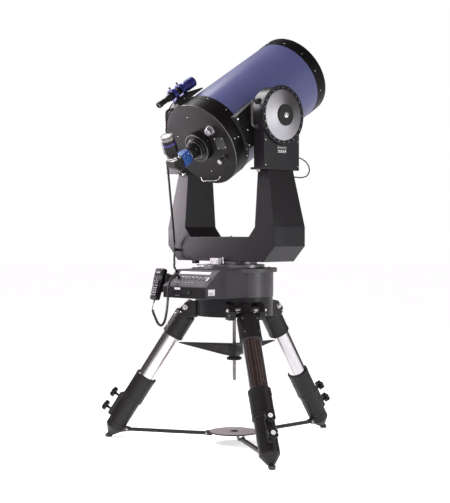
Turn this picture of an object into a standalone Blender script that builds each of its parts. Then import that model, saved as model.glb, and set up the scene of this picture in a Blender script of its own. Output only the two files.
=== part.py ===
"""Schmidt-Cassegrain telescope on a computerised fork mount and folding tripod.

Blender 4.5, metres, +Z up.  The floor is z = 0.  The azimuth axis is vertical at
(AXIS_X, AXIS_Y).  The altitude axis is parallel to X at ALT_Z.  The optical tube points
towards +Y and up by TUBE_ALT degrees, and the control console faces -Y.
"""

import math

import bmesh
import bpy
from mathutils import Matrix, Vector

# ----------------------------------------------------------------- driving dimensions
AXIS_X, AXIS_Y = 0.0, -0.1065     # azimuth axis in the row frame
ALT_Z = 1.7628                    # height of the altitude axis
TUBE_ALT = 31.3                   # stored tilt of the optical tube, degrees
GAP = 0.0003                      # clearance between touching pieces

TUBE_R = 0.2286                   # optical tube, outside radius (18 in tube, 16 in mirror)
TUBE_WALL = 0.004
CELL_R = 0.2348                   # rear cell
CELL_BACK, CELL_FRONT = -0.286, -0.176
RING_BACK, RING_FRONT, RING_R = 0.465, 0.541, 0.2305

FORK_HALF_Y, FORK_TOP_HALF_Y = 0.1166, 0.0933
FORK_BOTTOM, FORK_SPLIT, FORK_TOP = 0.9962, 1.1785, 1.477
FORK_IN_X, FORK_OUT_X, FORK_TOP_OUT_X = 0.2691, 0.4135, 0.3496
HOUSING_X0, HOUSING_X1, HOUSING_R, HOUSING_HALF_Y = 0.280, 0.356, 0.152, 0.133
HOUSING_DEEPER_LEFT = 0.034       # the left housing holds the brake and is thicker
PAD_Y = 0.1480                    # front face of the pads that carry the grab handles
SHAFT_R = 0.030

HEAD_R, HEAD_Z0, HEAD_Z1 = 0.210, 0.700, 0.805
BASE_R, FLANGE_R = 0.2127, 0.233
BASE_Z1, FLANGE_Z1 = 0.937, 0.959

LEG_AZIMUTHS = {"right": 60.0, "back": 180.0, "left": -60.0}
LEG_PIVOT = (0.250, 0.745)        # radius from the azimuth axis, height
LEG_SLOPE = 33.2                  # degrees from vertical
LEG_LENGTH = 0.890                # pivot to foot tip, along the leg
TUBE_LEG_R = 0.0495
SOCKET_R, COLLAR_R, LOWER_R = 0.0585, 0.0600, 0.0530
BAR_HINGE = (0.6195, 0.0490)      # radius, height of the lower bar's hinge on its leg
TRAY_R, TRAY_Z0, TRAY_Z1 = 0.137, 0.0605, 0.0670
ROD_R = 0.0093


def clear_scene():
    for obj in list(bpy.data.objects):
        bpy.data.objects.remove(obj, do_unlink=True)


clear_scene()
SCENE = bpy.context.scene.collection
MATERIALS = {}
COLOURS = {
    "black_paint": ((0.030, 0.030, 0.034), 0.45, 0.2),
    "blue_paint": ((0.085, 0.110, 0.330), 0.42, 0.1),
    "blue_anodised": ((0.030, 0.035, 0.270), 0.35, 0.4),
    "motor_blue": ((0.020, 0.120, 0.420), 0.40, 0.2),
    "chrome": ((0.800, 0.780, 0.780), 0.10, 1.0),
    "brushed_steel": ((0.640, 0.630, 0.660), 0.30, 1.0),
    "tray_metal": ((0.500, 0.450, 0.460), 0.35, 0.8),
    "mirror_glass": ((0.900, 0.900, 0.920), 0.03, 1.0),
    "corrector_glass": ((0.800, 0.850, 0.900), 0.05, 0.0),
    "black_plastic": ((0.022, 0.022, 0.024), 0.50, 0.0),
    "keypad_rubber": ((0.120, 0.120, 0.125), 0.65, 0.0),
    "cord_rubber": ((0.018, 0.018, 0.020), 0.50, 0.0),
}


def material(kind, name):
    """Every sub-part gets a material of its own."""
    colour, rough, metal = COLOURS[kind]
    mat = bpy.data.materials.new(name + "_finish")
    mat.use_nodes = True
    shader = mat.node_tree.nodes["Principled BSDF"]
    shader.inputs["Base Color"].default_value = (*colour, 1)
    shader.inputs["Roughness"].default_value = rough
    shader.inputs["Metallic"].default_value = metal
    mat.diffuse_color = (*colour, 1)
    return mat


def empty(name, where, parent=None):
    obj = bpy.data.objects.new(name, None)
    SCENE.objects.link(obj)
    obj.empty_display_size = 0.05
    obj["row_place"] = list(where)
    if parent is not None:
        obj.parent = parent
        obj.location = Vector(where) - Vector(parent["row_place"])
    else:
        obj.location = where
    return obj


def finish(name, bm, kind, body, smooth=True):
    """Links a mesh given in the mount's frame as an object whose origin is its body's pivot."""
    bmesh.ops.recalc_face_normals(bm, faces=bm.faces)
    mesh = bpy.data.meshes.new(name)
    bm.to_mesh(mesh)
    bm.free()
    pivot = Vector(body["row_place"])
    mesh.transform(Matrix.Translation(Vector((AXIS_X, AXIS_Y, 0)) - pivot))
    obj = bpy.data.objects.new(name, mesh)
    SCENE.objects.link(obj)
    obj.parent = body
    if kind is not None:
        mesh.materials.append(material(kind, name))
    if smooth:
        mesh.shade_smooth()
        mesh.set_sharp_from_angle(angle=math.radians(35))
    return obj


def helper(obj):
    obj.hide_render = True
    obj.display_type = "WIRE"
    return obj


def boolean(obj, other, operation):
    mod = obj.modifiers.new(operation.lower(), "BOOLEAN")
    mod.operation = operation
    mod.object = helper(other)
    mod.solver = "EXACT"
    return obj


# ------------------------------------------------------------------- shape functions
def basis(axis, ref):
    a = Vector(axis).normalized()
    r = Vector(ref)
    r = (r - a * r.dot(a)).normalized()
    return a, r, a.cross(r)


def add_ring(bm, centre, r, u, v, seg):
    return [
        bm.verts.new(
            centre
            + u * (r * math.cos(2 * math.pi * i / seg))
            + v * (r * math.sin(2 * math.pi * i / seg))
        )
        for i in range(seg)
    ]


def bridge(bm, a, b):
    n = len(a)
    for i in range(n):
        bm.faces.new((a[i], a[(i + 1) % n], b[(i + 1) % n], b[i]))


def lathe(origin, axis, profile, seg=18, closed=False, ref=(0.3, 0.2, 0.9), bm=None):
    """Turned body.  profile is a list of (radius, distance along axis).  A closed profile makes
    an annular body; an open one is capped flat at both ends."""
    bm = bm or bmesh.new()
    a, u, v = basis(axis, ref)
    rings = [add_ring(bm, Vector(origin) + a * h, r, u, v, seg) for r, h in profile]
    for one, two in zip(rings, rings[1:]):
        bridge(bm, one, two)
    if closed:
        bridge(bm, rings[-1], rings[0])
    else:
        bm.faces.new(rings[0])
        bm.faces.new(rings[-1])
    return bm


def loft(loops, bm=None):
    """Skins a list of equally long loops of points and caps both ends."""
    bm = bm or bmesh.new()
    rings = [[bm.verts.new(p) for p in loop] for loop in loops]
    for one, two in zip(rings, rings[1:]):
        bridge(bm, one, two)
    bm.faces.new(rings[0])
    bm.faces.new(rings[-1])
    return bm


def prism(points, place, depth, bm=None):
    """Extrudes a 2D outline.  place(p, h) gives the 3D point at height h of depth (h0, h1)."""
    return loft([[place(p, h) for p in points] for h in depth], bm)


def box(lo, hi, bm=None):
    pts = [(lo[0], lo[1]), (hi[0], lo[1]), (hi[0], hi[1]), (lo[0], hi[1])]
    return prism(pts, lambda p, h: Vector((p[0], p[1], h)), (lo[2], hi[2]), bm)


def arc(cx, cy, r, a0, a1, n):
    return [
        (
            cx + r * math.cos(math.radians(a0 + (a1 - a0) * i / n)),
            cy + r * math.sin(math.radians(a0 + (a1 - a0) * i / n)),
        )
        for i in range(n + 1)
    ]


def tube_curve(name, points, radius, kind, body, scale=None, sides=2):
    """A cord: one open poly spline with a round bevel and closed ends."""
    data = bpy.data.curves.new(name, "CURVE")
    data.dimensions = "3D"
    data.bevel_depth = radius
    data.bevel_resolution = sides
    data.use_fill_caps = True
    spline = data.splines.new("POLY")
    spline.points.add(len(points) - 1)
    pivot = Vector(body["row_place"])
    shift = Vector((AXIS_X, AXIS_Y, 0)) - pivot
    for i, p in enumerate(points):
        spline.points[i].co = (*(Vector(p) + shift), 1)
        spline.points[i].radius = scale[i] if scale else 1.0
    data.materials.append(material(kind, name))
    obj = bpy.data.objects.new(name, data)
    SCENE.objects.link(obj)
    obj.parent = body
    return obj


def smooth_route(knots, step):
    """Points about step apart on a centripetal Catmull-Rom curve through the knots."""
    pts = [Vector(k) for k in knots]
    pts = [pts[0] * 2 - pts[1]] + pts + [pts[-1] * 2 - pts[-2]]
    fine = []
    for i in range(1, len(pts) - 2):
        p0, p1, p2, p3 = pts[i - 1 : i + 3]
        t0 = 0.0
        t1 = t0 + (p1 - p0).length ** 0.5
        t2 = t1 + (p2 - p1).length ** 0.5
        t3 = t2 + (p3 - p2).length ** 0.5
        for k in range(40):
            t = t1 + (t2 - t1) * k / 40
            a1 = p0 * ((t1 - t) / (t1 - t0)) + p1 * ((t - t0) / (t1 - t0))
            a2 = p1 * ((t2 - t) / (t2 - t1)) + p2 * ((t - t1) / (t2 - t1))
            a3 = p2 * ((t3 - t) / (t3 - t2)) + p3 * ((t - t2) / (t3 - t2))
            b1 = a1 * ((t2 - t) / (t2 - t0)) + a2 * ((t - t0) / (t2 - t0))
            b2 = a2 * ((t3 - t) / (t3 - t1)) + a3 * ((t - t1) / (t3 - t1))
            fine.append(b1 * ((t2 - t) / (t2 - t1)) + b2 * ((t - t1) / (t2 - t1)))
    fine.append(pts[-2])
    along = [0.0]
    for one, two in zip(fine, fine[1:]):
        along.append(along[-1] + (two - one).length)
    count = max(2, round(along[-1] / step))
    out, j = [], 0
    for i in range(count + 1):
        want = along[-1] * i / count
        while j < len(along) - 2 and along[j + 1] < want:
            j += 1
        f = (want - along[j]) / max(along[j + 1] - along[j], 1e-12)
        out.append(fine[j].lerp(fine[j + 1], min(max(f, 0.0), 1.0)))
    return out


# ------------------------------------------------------------ frames and body pivots
AXIS = Vector((AXIS_X, AXIS_Y, 0))
ALT = math.radians(TUBE_ALT)
D = Vector((0, math.cos(ALT), math.sin(ALT)))       # along the optical axis, to the sky
W = Vector((0, -math.sin(ALT), math.cos(ALT)))      # across it, upwards
X = Vector((1, 0, 0))
O = Vector((0, 0, ALT_Z))


def ota(u, w, s):
    """A point of the optical tube: u to the right, w up across the tube, s along it."""
    return O + X * u + W * w + D * s


def tube_lathe(u, w, profile, seg=18, closed=False):
    return lathe(ota(u, w, 0), D, profile, seg, closed, ref=W)


def leg_frame(azimuth):
    """Radial and tangential directions of a leg."""
    a = math.radians(azimuth)
    radial = Vector((math.sin(a), -math.cos(a), 0))
    return radial, Vector((0, 0, 1)).cross(radial)


SLOPE = math.radians(LEG_SLOPE)


def leg_point(azimuth, t, off=0.0, side=0.0):
    """t along the leg from its pivot, off outwards across it, side tangentially."""
    radial, tangent = leg_frame(azimuth)
    z = Vector((0, 0, 1))
    base = radial * LEG_PIVOT[0] + z * LEG_PIVOT[1]
    along = radial * math.sin(SLOPE) - z * math.cos(SLOPE)
    out = radial * math.cos(SLOPE) + z * math.sin(SLOPE)
    return base + along * t + out * off + tangent * side


def leg_dirs(azimuth):
    radial, tangent = leg_frame(azimuth)
    z = Vector((0, 0, 1))
    return (
        radial * math.sin(SLOPE) - z * math.cos(SLOPE),
        radial * math.cos(SLOPE) + z * math.sin(SLOPE),
        tangent,
    )


base = empty("base_body", AXIS)
fork = empty("fork_body", AXIS + Vector((0, 0, FLANGE_Z1)), base)
tube = empty("tube_body", AXIS + O, fork)

# ============================================================ tripod head and drive base
head = lathe(
    (0, 0, 0),
    (0, 0, 1),
    [
        (0.030, HEAD_Z0),
        (0.030, HEAD_Z1 - 0.022),
        (HEAD_R - 0.016, HEAD_Z1 - 0.022),
        (HEAD_R - 0.016, HEAD_Z0),
        (HEAD_R, HEAD_Z0),
        (HEAD_R, HEAD_Z1 - GAP),
    ],
    36,
)
head = finish("tripod_head", head, "black_paint", base)
LUG_IN, LUG_OUT = 0.0625, 0.0980
for leg, azimuth in LEG_AZIMUTHS.items():
    radial, tangent = leg_frame(azimuth)
    for side in (-1, 1):
        outline = [(0.188, 0.690), (0.264, 0.690), (0.283, 0.709), (0.286, 0.736), (0.247, 0.774), (0.188, 0.784)]
        lug = prism(
            outline,
            lambda p, h: radial * p[0] + Vector((0, 0, p[1])) + tangent * h,
            (side * LUG_IN, side * LUG_OUT),
        )
        boolean(head, finish(f"guide_lug_{leg}_{'ab'[side > 0]}", lug, None, base, False), "UNION")

drive = lathe(
    (0, 0, 0),
    (0, 0, 1),
    [
        (BASE_R - 0.010, HEAD_Z1),
        (BASE_R, HEAD_Z1),
        (BASE_R, BASE_Z1),
        (FLANGE_R, BASE_Z1),
        (FLANGE_R, FLANGE_Z1),
        (0.0320, FLANGE_Z1),
        (0.0320, BASE_Z1 - 0.002),
        (BASE_R - 0.010, BASE_Z1 - 0.002),
    ],
    36,
    closed=True,
)
finish("drive_base", drive, "black_paint", base)

# console: a desk-shaped box with a sloping panel, its sides splayed back into the drum
CON_X, CON_Y0, CON_Y1 = 0.168, -0.367, -0.267
CON_Z0, CON_ZF, CON_ZT = 0.8055, 0.868, 0.953
con = bmesh.new()
desk = [(CON_Y0, CON_Z0), (CON_Y0, CON_ZF), (CON_Y1, CON_ZT - 0.0), (-0.16, CON_ZT), (-0.16, CON_Z0)]
plan = [(-CON_X, CON_Y0), (CON_X, CON_Y0), (CON_X, CON_Y1), (0.194, -0.243), (0.194, -0.088), (-0.194, -0.088), (-0.194, -0.243), (-CON_X, CON_Y1)]


def desk_top(y):
    if y >= CON_Y1:
        return CON_ZT
    return CON_ZF + (CON_ZT - CON_ZF) * (y - CON_Y0) / (CON_Y1 - CON_Y0)


bottom = [con.verts.new((x, y, CON_Z0)) for x, y in plan]
top = [con.verts.new((x, y, desk_top(y))) for x, y in plan]
bridge(con, bottom, top)
con.faces.new(bottom)
con.faces.new((top[0], top[1], top[2], top[7]))
con.faces.new((top[2], top[3], top[4], top[5], top[6], top[7]))
con = finish("control_console", con, "black_plastic", base, False)
cut = lathe((0, 0, 0), (0, 0, 1), [(BASE_R + 0.0012, 0.70), (BASE_R + 0.0012, BASE_Z1 - GAP), (FLANGE_R + 0.0012, BASE_Z1 - GAP), (FLANGE_R + 0.0012, 1.0)], 36)
boolean(con, finish("cutter_console", cut, None, base, False), "DIFFERENCE")

# azimuth lock: a small clamp block with a lever, turning on the flange
LOCK = Vector((0.000, -0.205, FLANGE_Z1))
lock = empty("azimuth_lock_body", AXIS + LOCK, base)
lever = lathe(LOCK, (0, 0, 1), [(0.011, GAP), (0.011, 0.012), (0.0075, 0.012), (0.0075, 0.016)], 20)
lever = finish("azimuth_lock_lever", lever, "chrome", lock)
arm = prism(
    [(-0.075, -0.006), (-0.070, -0.008), (0.006, -0.006), (0.006, 0.006), (-0.070, 0.004)],
    lambda p, h: LOCK + Vector((p[0], p[1], h)),
    (0.0155, 0.0235),
)
boolean(lever, finish("guide_lever_arm", arm, None, lock, False), "UNION")

# central threaded rod under the head
rod = lathe((0, 0, 0), (0, 0, 1), [(ROD_R, 0.346), (ROD_R, HEAD_Z0 - GAP)], 16)
finish("spreader_rod", rod, "brushed_steel", base)

# ------------------------------------------------------------------ handset and holder
HS_TOP = Vector((-0.222, -0.330, 0.955))
HS_DOWN = Vector((0, -0.052, -0.165)).normalized()
HS_LEN = 0.173
HS_OUT = X.cross(HS_DOWN).normalized()
if HS_OUT.y > 0:
    HS_OUT = -HS_OUT


def hs(u, v, h):
    """u across, v down from the top, h out of the handset's face."""
    return HS_TOP + X * u + HS_DOWN * v + HS_OUT * h


outline = [(-0.031, 0.0), (-0.036, 0.006), (-0.036, 0.060), (-0.031, 0.100), (-0.028, 0.168), (-0.023, 0.173), (0.023, 0.173), (0.028, 0.168), (0.031, 0.100), (0.036, 0.060), (0.036, 0.006), (0.031, 0.0)]
shell = loft([[hs(x * k, v if 0.01 < v < 0.165 else (0.002 if v < 0.01 else 0.171) if k < 1 else v, h) for x, v in outline] for k, h in ((0.90, -0.015), (1.0, -0.010), (1.0, 0.009), (0.93, 0.0130))])
finish("handset", shell, "black_plastic", base)
keys = empty("keypad_body", AXIS + hs(0, 0.105, 0.0135), base)
pad = loft([[hs(x, v, h) for x, v in [(-0.020, 0.062), (0.020, 0.062), (0.022, 0.070), (0.019, 0.158), (-0.019, 0.158), (-0.022, 0.070)]] for h in (0.0147, 0.0167)])
finish("keypad", pad, "keypad_rubber", keys, False)

# holder: a bent plate on the console's left side, behind the handset
plate = prism(
    [(0.020, -0.0153), (0.125, -0.0153), (0.125, -0.0193), (0.020, -0.0193)],
    lambda p, h: HS_TOP + HS_DOWN * p[0] + HS_OUT * p[1] + X * h,
    (-0.036, 0.0535),
)
holder = finish("handset_holder", plate, "black_paint", base, False)
ear = box((-0.1735, -0.345, 0.880), (-CON_X - GAP, -0.2700, 0.925))
# the ear lies flat on the console's side and carries the plate
boolean(holder, finish("guide_holder_ear", ear, None, base, False), "UNION")

# cords on the fixed base
panel_z = lambda y: desk_top(y)
HC_START = Vector((-0.094, -0.318, panel_z(-0.318) + 0.0004))
n_panel = Vector((0, -(CON_ZT - CON_ZF), CON_Y1 - CON_Y0)).normalized()
HC_END = hs(0, 0.173, -0.001)
knots = [
    HC_START + n_panel * 0.0012,
    HC_START + n_panel * 0.022,
    Vector((-0.094, -0.3640, 0.9130)),
    Vector((-0.097, -0.3830, 0.885)),
    Vector((-0.102, -0.388, 0.850)),
    Vector((-0.107, -0.388, 0.790)),
    Vector((-0.118, -0.388, 0.722)),
    Vector((-0.136, -0.388, 0.674)),
    Vector((-0.160, -0.388, 0.656)),
    Vector((-0.186, -0.388, 0.666)),
    Vector((-0.207, -0.388, 0.694)),
    Vector((-0.224, -0.388, 0.722)),
    Vector((-0.231, -0.388, 0.745)),
    Vector((-0.226, -0.387, 0.766)),
    HC_END + HS_DOWN * 0.012,
    HC_END + HS_DOWN * 0.0006,
]
STEP = 0.0180
route = smooth_route(knots, STEP)
n = len(route)
taper = [1.0] * n
for i in range(n):
    left = (n - 1 - i) * STEP
    taper[i] = 0.42 if left < 0.030 else (0.42 + 0.58 * min(1.0, (left - 0.030) / 0.02))
tube_curve("handset_cord", route, 0.0074, "cord_rubber", base, taper)

CLIP = Vector((-0.333, -0.140, 1.055))
FC_END = Vector((-0.146, -0.285, desk_top(-0.285) + 0.0004))
knots = [
    CLIP + Vector((0, 0, -0.0130)),
    CLIP + Vector((0, -0.001, -0.030)),
    Vector((-0.290, -0.180, 1.0060)),
    Vector((-0.230, -0.232, 0.9800)),
    Vector((-0.178, -0.280, 0.9690)),
    FC_END + n_panel * 0.022,
    FC_END + n_panel * 0.0012,
]
tube_curve("focuser_cord_lower", smooth_route(knots, 0.0200), 0.0062, "cord_rubber", base)

# ================================================================================ fork
turn = lathe(
    (0, 0, 0),
    (0, 0, 1),
    [
        (0.0300, 0.840),
        (0.0300, FLANGE_Z1 + GAP),
        (0.165, FLANGE_Z1 + GAP),
        (0.165, 0.978),
        (0.125, 0.979),
        (0.125, FORK_BOTTOM - GAP),
    ],
    36,
)
finish("azimuth_turntable", turn, "brushed_steel", fork)

out = [(-0.3337, FORK_BOTTOM), (0.3337, FORK_BOTTOM), (FORK_OUT_X, 1.0785), (FORK_OUT_X, FORK_SPLIT), (FORK_IN_X, FORK_SPLIT), (FORK_IN_X, 1.1741), (0.2231, 1.1268), (-0.2231, 1.1268), (-FORK_IN_X, 1.1741), (-FORK_IN_X, FORK_SPLIT), (-FORK_OUT_X, FORK_SPLIT), (-FORK_OUT_X, 1.0785)]
fb = prism(out, lambda p, h: Vector((p[0], h, p[1])), (-FORK_HALF_Y, FORK_HALF_Y))
fb = finish("fork_base", fb, "black_paint", fork, False)
for sgn in (-1, 1):
    core = box((min(sgn * 0.135, sgn * 0.322), -0.104, FORK_BOTTOM - 0.05), (max(sgn * 0.135, sgn * 0.322), 0.104, 1.112))
    boolean(fb, finish(f"cutter_core_{'ab'[sgn > 0]}", core, None, fork, False), "DIFFERENCE")
clip = box((CLIP.x - 0.012, -0.150, CLIP.z - 0.012), (CLIP.x + 0.012, -FORK_HALF_Y + 0.002, CLIP.z + 0.012))
boolean(fb, finish("guide_clip", clip, None, fork, False), "UNION")

for side, name in ((-1, "left"), (1, "right")):
    lower = [(FORK_IN_X, -FORK_HALF_Y), (FORK_OUT_X, -FORK_HALF_Y), (FORK_OUT_X, FORK_HALF_Y), (FORK_IN_X, FORK_HALF_Y)]
    upper = [(FORK_IN_X, -FORK_TOP_HALF_Y), (FORK_TOP_OUT_X, -FORK_TOP_HALF_Y), (FORK_TOP_OUT_X, FORK_TOP_HALF_Y), (FORK_IN_X, FORK_TOP_HALF_Y)]
    a = loft([[Vector((side * x, y, z)) for x, y in loop] for loop, z in ((lower, FORK_SPLIT + GAP), (upper, FORK_TOP - GAP))])
    a = finish(f"fork_arm_{name}", a, "black_paint", fork, False)
    inset = lambda loop, k: [(x + k * (1 if x < 0.3 else -1), y + k * (1 if y < 0 else -1)) for x, y in loop]
    core = loft([[Vector((side * x, y, z)) for x, y in inset(loop, 0.010)] for loop, z in ((lower, FORK_SPLIT + 0.012), (upper, FORK_TOP + 0.01))])
    boolean(a, finish(f"cutter_arm_{name}", core, None, fork, False), "DIFFERENCE")

    more = HOUSING_DEEPER_LEFT if side < 0 else 0.0
    half = math.degrees(math.acos(HOUSING_HALF_Y / HOUSING_R))
    side_pts = [(-HOUSING_HALF_Y, FORK_TOP), (HOUSING_HALF_Y, FORK_TOP)]
    side_pts += arc(0, ALT_Z, HOUSING_R, -half, 180 + half, 24)
    h = prism(side_pts, lambda p, q: Vector((side * q, p[0], p[1])), (HOUSING_X0, HOUSING_X1 + more))
    h = finish(f"bearing_housing_{name}", h, "black_paint", fork)
    gear_room = lathe((side * 0.294, 0, ALT_Z), (side, 0, 0), [(0.118, 0.0), (0.118, 0.12)], 28)
    boolean(h, finish(f"cutter_room_{name}", gear_room, None, fork, False), "DIFFERENCE")
    foot = box((min(side * 0.271, side * (HOUSING_X1 + more)), -0.150, FORK_TOP), (max(side * 0.271, side * (HOUSING_X1 + more)), HOUSING_HALF_Y, FORK_TOP + 0.012))
    boolean(h, finish(f"guide_foot_{name}", foot, None, fork, False), "UNION")
    for i, z in enumerate((1.829, 1.697)):
        px = side * (0.315 + more * 1.15)
        pad = box((px - 0.014, -PAD_Y, z - 0.013), (px + 0.014, -0.120, z + 0.013))
        boolean(h, finish(f"guide_pad_{name}_{i}", pad, None, fork, False), "UNION")
    bore = lathe((side * 0.25, 0, ALT_Z), (side, 0, 0), [(SHAFT_R + 0.0010, 0.0), (SHAFT_R + 0.0010, 0.2)], 24)
    boolean(h, finish(f"cutter_bore_{name}", bore, None, fork, False), "DIFFERENCE")

    hx = side * (0.315 + more * 1.15)
    grip = [
        Vector((hx, -PAD_Y - GAP, 1.829)),
        Vector((hx, -0.166, 1.829)),
        Vector((hx, -0.176, 1.826)),
        Vector((hx, -0.181, 1.817)),
        Vector((hx, -0.181, 1.763)),
        Vector((hx, -0.181, 1.709)),
        Vector((hx, -0.176, 1.700)),
        Vector((hx, -0.166, 1.697)),
        Vector((hx, -PAD_Y - GAP, 1.697)),
    ]
    tube_curve(f"fork_handle_{name}", grip, 0.0065, "brushed_steel", fork)

# motor cable: a loop from the right housing down into the arm
taper_y = lambda z: FORK_HALF_Y + (FORK_TOP_HALF_Y - FORK_HALF_Y) * (z - FORK_SPLIT) / (FORK_TOP - FORK_SPLIT)
knots = [
    Vector((0.318, HOUSING_HALF_Y + 0.0008, 1.552)),
    Vector((0.318, 0.160, 1.551)),
    Vector((0.318, 0.205, 1.540)),
    Vector((0.318, 0.243, 1.516)),
    Vector((0.318, 0.256, 1.485)),
    Vector((0.318, 0.238, 1.457)),
    Vector((0.318, 0.195, 1.445)),
    Vector((0.318, 0.140, 1.445)),
    Vector((0.318, taper_y(1.446) + 0.0008, 1.446)),
]
tube_curve("altitude_motor_cable", smooth_route(knots, 0.0150), 0.0035, "cord_rubber", fork)

# =========================================================================== the tube
body = tube_lathe(
    0,
    0,
    [
        (TUBE_R - TUBE_WALL, CELL_FRONT + GAP),
        (TUBE_R, CELL_FRONT + GAP),
        (TUBE_R, RING_BACK - GAP),
        (TUBE_R - TUBE_WALL, RING_BACK - GAP),
    ],
    36,
    closed=True,
)
finish("optical_tube", body, "blue_paint", tube)

# rear cell: a cup with the central baffle tube standing in it
cell = tube_lathe(
    0,
    0,
    [
        (0.040, CELL_BACK),
        (CELL_R - 0.006, CELL_BACK),
        (CELL_R, CELL_BACK + 0.006),
        (CELL_R, CELL_FRONT),
        (TUBE_R - 0.008, CELL_FRONT),
        (TUBE_R - 0.008, CELL_BACK + 0.014),
        (0.046, CELL_BACK + 0.014),
        (0.046, 0.180),
        (0.043, 0.180),
        (0.040, 0.170),
    ],
    36,
    closed=True,
)
finish("rear_cell", cell, "black_paint", tube)

mirror = tube_lathe(
    0,
    0,
    [(0.060, -0.240), (0.205, -0.240), (0.205, -0.196), (0.130, -0.202), (0.060, -0.205)],
    36,
    closed=True,
)
finish("primary_mirror", mirror, "mirror_glass", tube)

ring = tube_lathe(
    0,
    0,
    [
        (0.2245, RING_BACK),
        (RING_R, RING_BACK),
        (RING_R, RING_FRONT - 0.004),
        (RING_R - 0.004, RING_FRONT),
        (0.2100, RING_FRONT),
        (0.2060, RING_FRONT - 0.010),
        (0.2060, 0.5280),
        (0.2245, 0.5280),
    ],
    36,
    closed=True,
)
finish("corrector_cell", ring, "black_paint", tube)
glass = tube_lathe(0, 0, [(0.0560, 0.5210), (0.2235, 0.5210), (0.2235, 0.5276), (0.0560, 0.5276)], 36, closed=True)
finish("corrector_plate", glass, "corrector_glass", tube)
hold = tube_lathe(
    0,
    0,
    [(0.0500, 0.4600), (0.0640, 0.4640), (0.0640, 0.5205), (0.0555, 0.5205), (0.0555, 0.5281), (0.0660, 0.5281), (0.0660, 0.5360), (0.0600, 0.5385)],
    28,
)
finish("secondary_holder", hold, "black_plastic", tube)

# side brackets: saddles on the rear cell that carry the altitude shafts
for side, name in ((-1, "left"), (1, "right")):
    plate_pts = [(-0.210, -0.078), (-0.210, 0.108), (-0.060, 0.118), (0.060, 0.095), (0.100, 0.050), (0.100, -0.050), (0.060, -0.095), (-0.120, -0.095)]
    p = prism(plate_pts, lambda q, h: O + D * q[0] + W * q[1] + X * (side * h), (0.205, 0.250))
    p = finish(f"altitude_bracket_{name}", p, "black_paint", tube, False)
    saddle = tube_lathe(0, 0, [(CELL_R + 0.0012, -0.40), (CELL_R + 0.0012, 0.30)], 36)
    boolean(p, finish(f"cutter_saddle_{name}", saddle, None, tube, False), "DIFFERENCE")
    more = HOUSING_DEEPER_LEFT if side < 0 else 0.0
    shaft = lathe(O + X * (side * 0.244), X * side, [(SHAFT_R, 0.0), (SHAFT_R, 0.1118 + more)], 24)
    boolean(p, finish(f"guide_shaft_{name}", shaft, None, tube, False), "UNION")

    x0 = HOUSING_X1 + more + 0.0005
    if side > 0:
        circle = lathe(O, X, [(0.1345, x0), (0.1557, x0), (0.1557, x0 + 0.0085), (0.1535, x0 + 0.0102), (0.1345, x0 + 0.0102)], 36, closed=True, ref=W)
        finish("setting_circle_right", circle, "black_paint", tube)
        dial = lathe(O, X, [(0.1340, x0), (0.1340, x0 + 0.0095), (0.0560, 0.3795), (0.0550, 0.3860), (0.0130, 0.3870), (0.0130, 0.3930), (0.0100, 0.3950)], 36, ref=W)
        finish("altitude_dial_right", dial, "brushed_steel", tube)
    else:
        cover = lathe(O, -X, [(0.1557, x0), (0.1557, x0 + 0.0085), (0.1340, x0 + 0.0102), (0.0560, 0.3795 + more), (0.0550, 0.3860 + more), (0.0130, 0.3870 + more), (0.0130, 0.3930 + more), (0.0100, 0.3950 + more)], 36, ref=W)
        finish("altitude_dial_left", cover, "brushed_steel", tube)

# ----------------------------------------------------- visual back, focuser, diagonal
drum = tube_lathe(0, 0, [(0.080, CELL_BACK - GAP), (0.080, -0.322), (0.077, -0.326), (0.052, -0.326), (0.052, -0.345), (0.036, -0.347), (0.036, -0.4047)], 28)
finish("focuser_drum", drum, "black_paint", tube)
motor = loft([[ota(u, w, s) for u, w in [(-0.034, -0.034), (0.026, -0.034), (0.034, -0.026), (0.034, 0.034), (-0.026, 0.034), (-0.034, 0.026)]] for s in (-0.405, -0.4650)])
finish("focus_motor", motor, "motor_blue", tube, False)

diagonal = empty("diagonal_body", AXIS + ota(0, 0, -0.465), tube)
EYE_TILT = math.radians(-10)
E = (W * math.cos(EYE_TILT) - X * math.sin(EYE_TILT)).normalized()   # eyepiece direction
F = D.cross(E).normalized()
EYE_S = -0.502
prism_side = [(-0.4653, -0.032), (-0.4653, 0.032), (-0.5340, 0.032), (-0.5340, -0.002), (-0.5050, -0.032)]
dg = prism(prism_side, lambda q, h: O + D * q[0] + E * q[1] + F * h, (-0.031, 0.031))
dg = finish("star_diagonal", dg, "black_paint", diagonal, False)
neck = lathe(O + D * EYE_S, E, [(0.0255, 0.030), (0.0255, 0.0497)], 28)
boolean(dg, finish("guide_neck", neck, None, diagonal, False), "UNION")
eye = lathe(
    O + D * EYE_S,
    E,
    [(0.0290, 0.0500), (0.0290, 0.0640), (0.0330, 0.0700), (0.0380, 0.0760), (0.0380, 0.1260), (0.0370, 0.1280), (0.0370, 0.1420), (0.0372, 0.1430), (0.0372, 0.1660), (0.0345, 0.1700)],
    28,
)
finish("eyepiece", eye, "black_paint", diagonal)

focus = empty("focus_knob_body", AXIS + ota(0.135, -0.085, CELL_BACK), tube)
k = tube_lathe(0.135, -0.085, [(0.0085, CELL_BACK - GAP), (0.0085, -0.2905), (0.0135, -0.2910), (0.0135, -0.3330), (0.0120, -0.3350)], 24)
finish("focus_knob", k, "brushed_steel", focus)
lockk = empty("mirror_lock_body", AXIS + ota(0.110, 0.077, CELL_BACK), tube)
k = tube_lathe(0.110, 0.077, [(0.0240, CELL_BACK - GAP), (0.0240, -0.2915), (0.0205, -0.2925), (0.0205, -0.3080), (0.0185, -0.3100)], 24)
finish("mirror_lock_knob", k, "brushed_steel", lockk)

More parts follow.
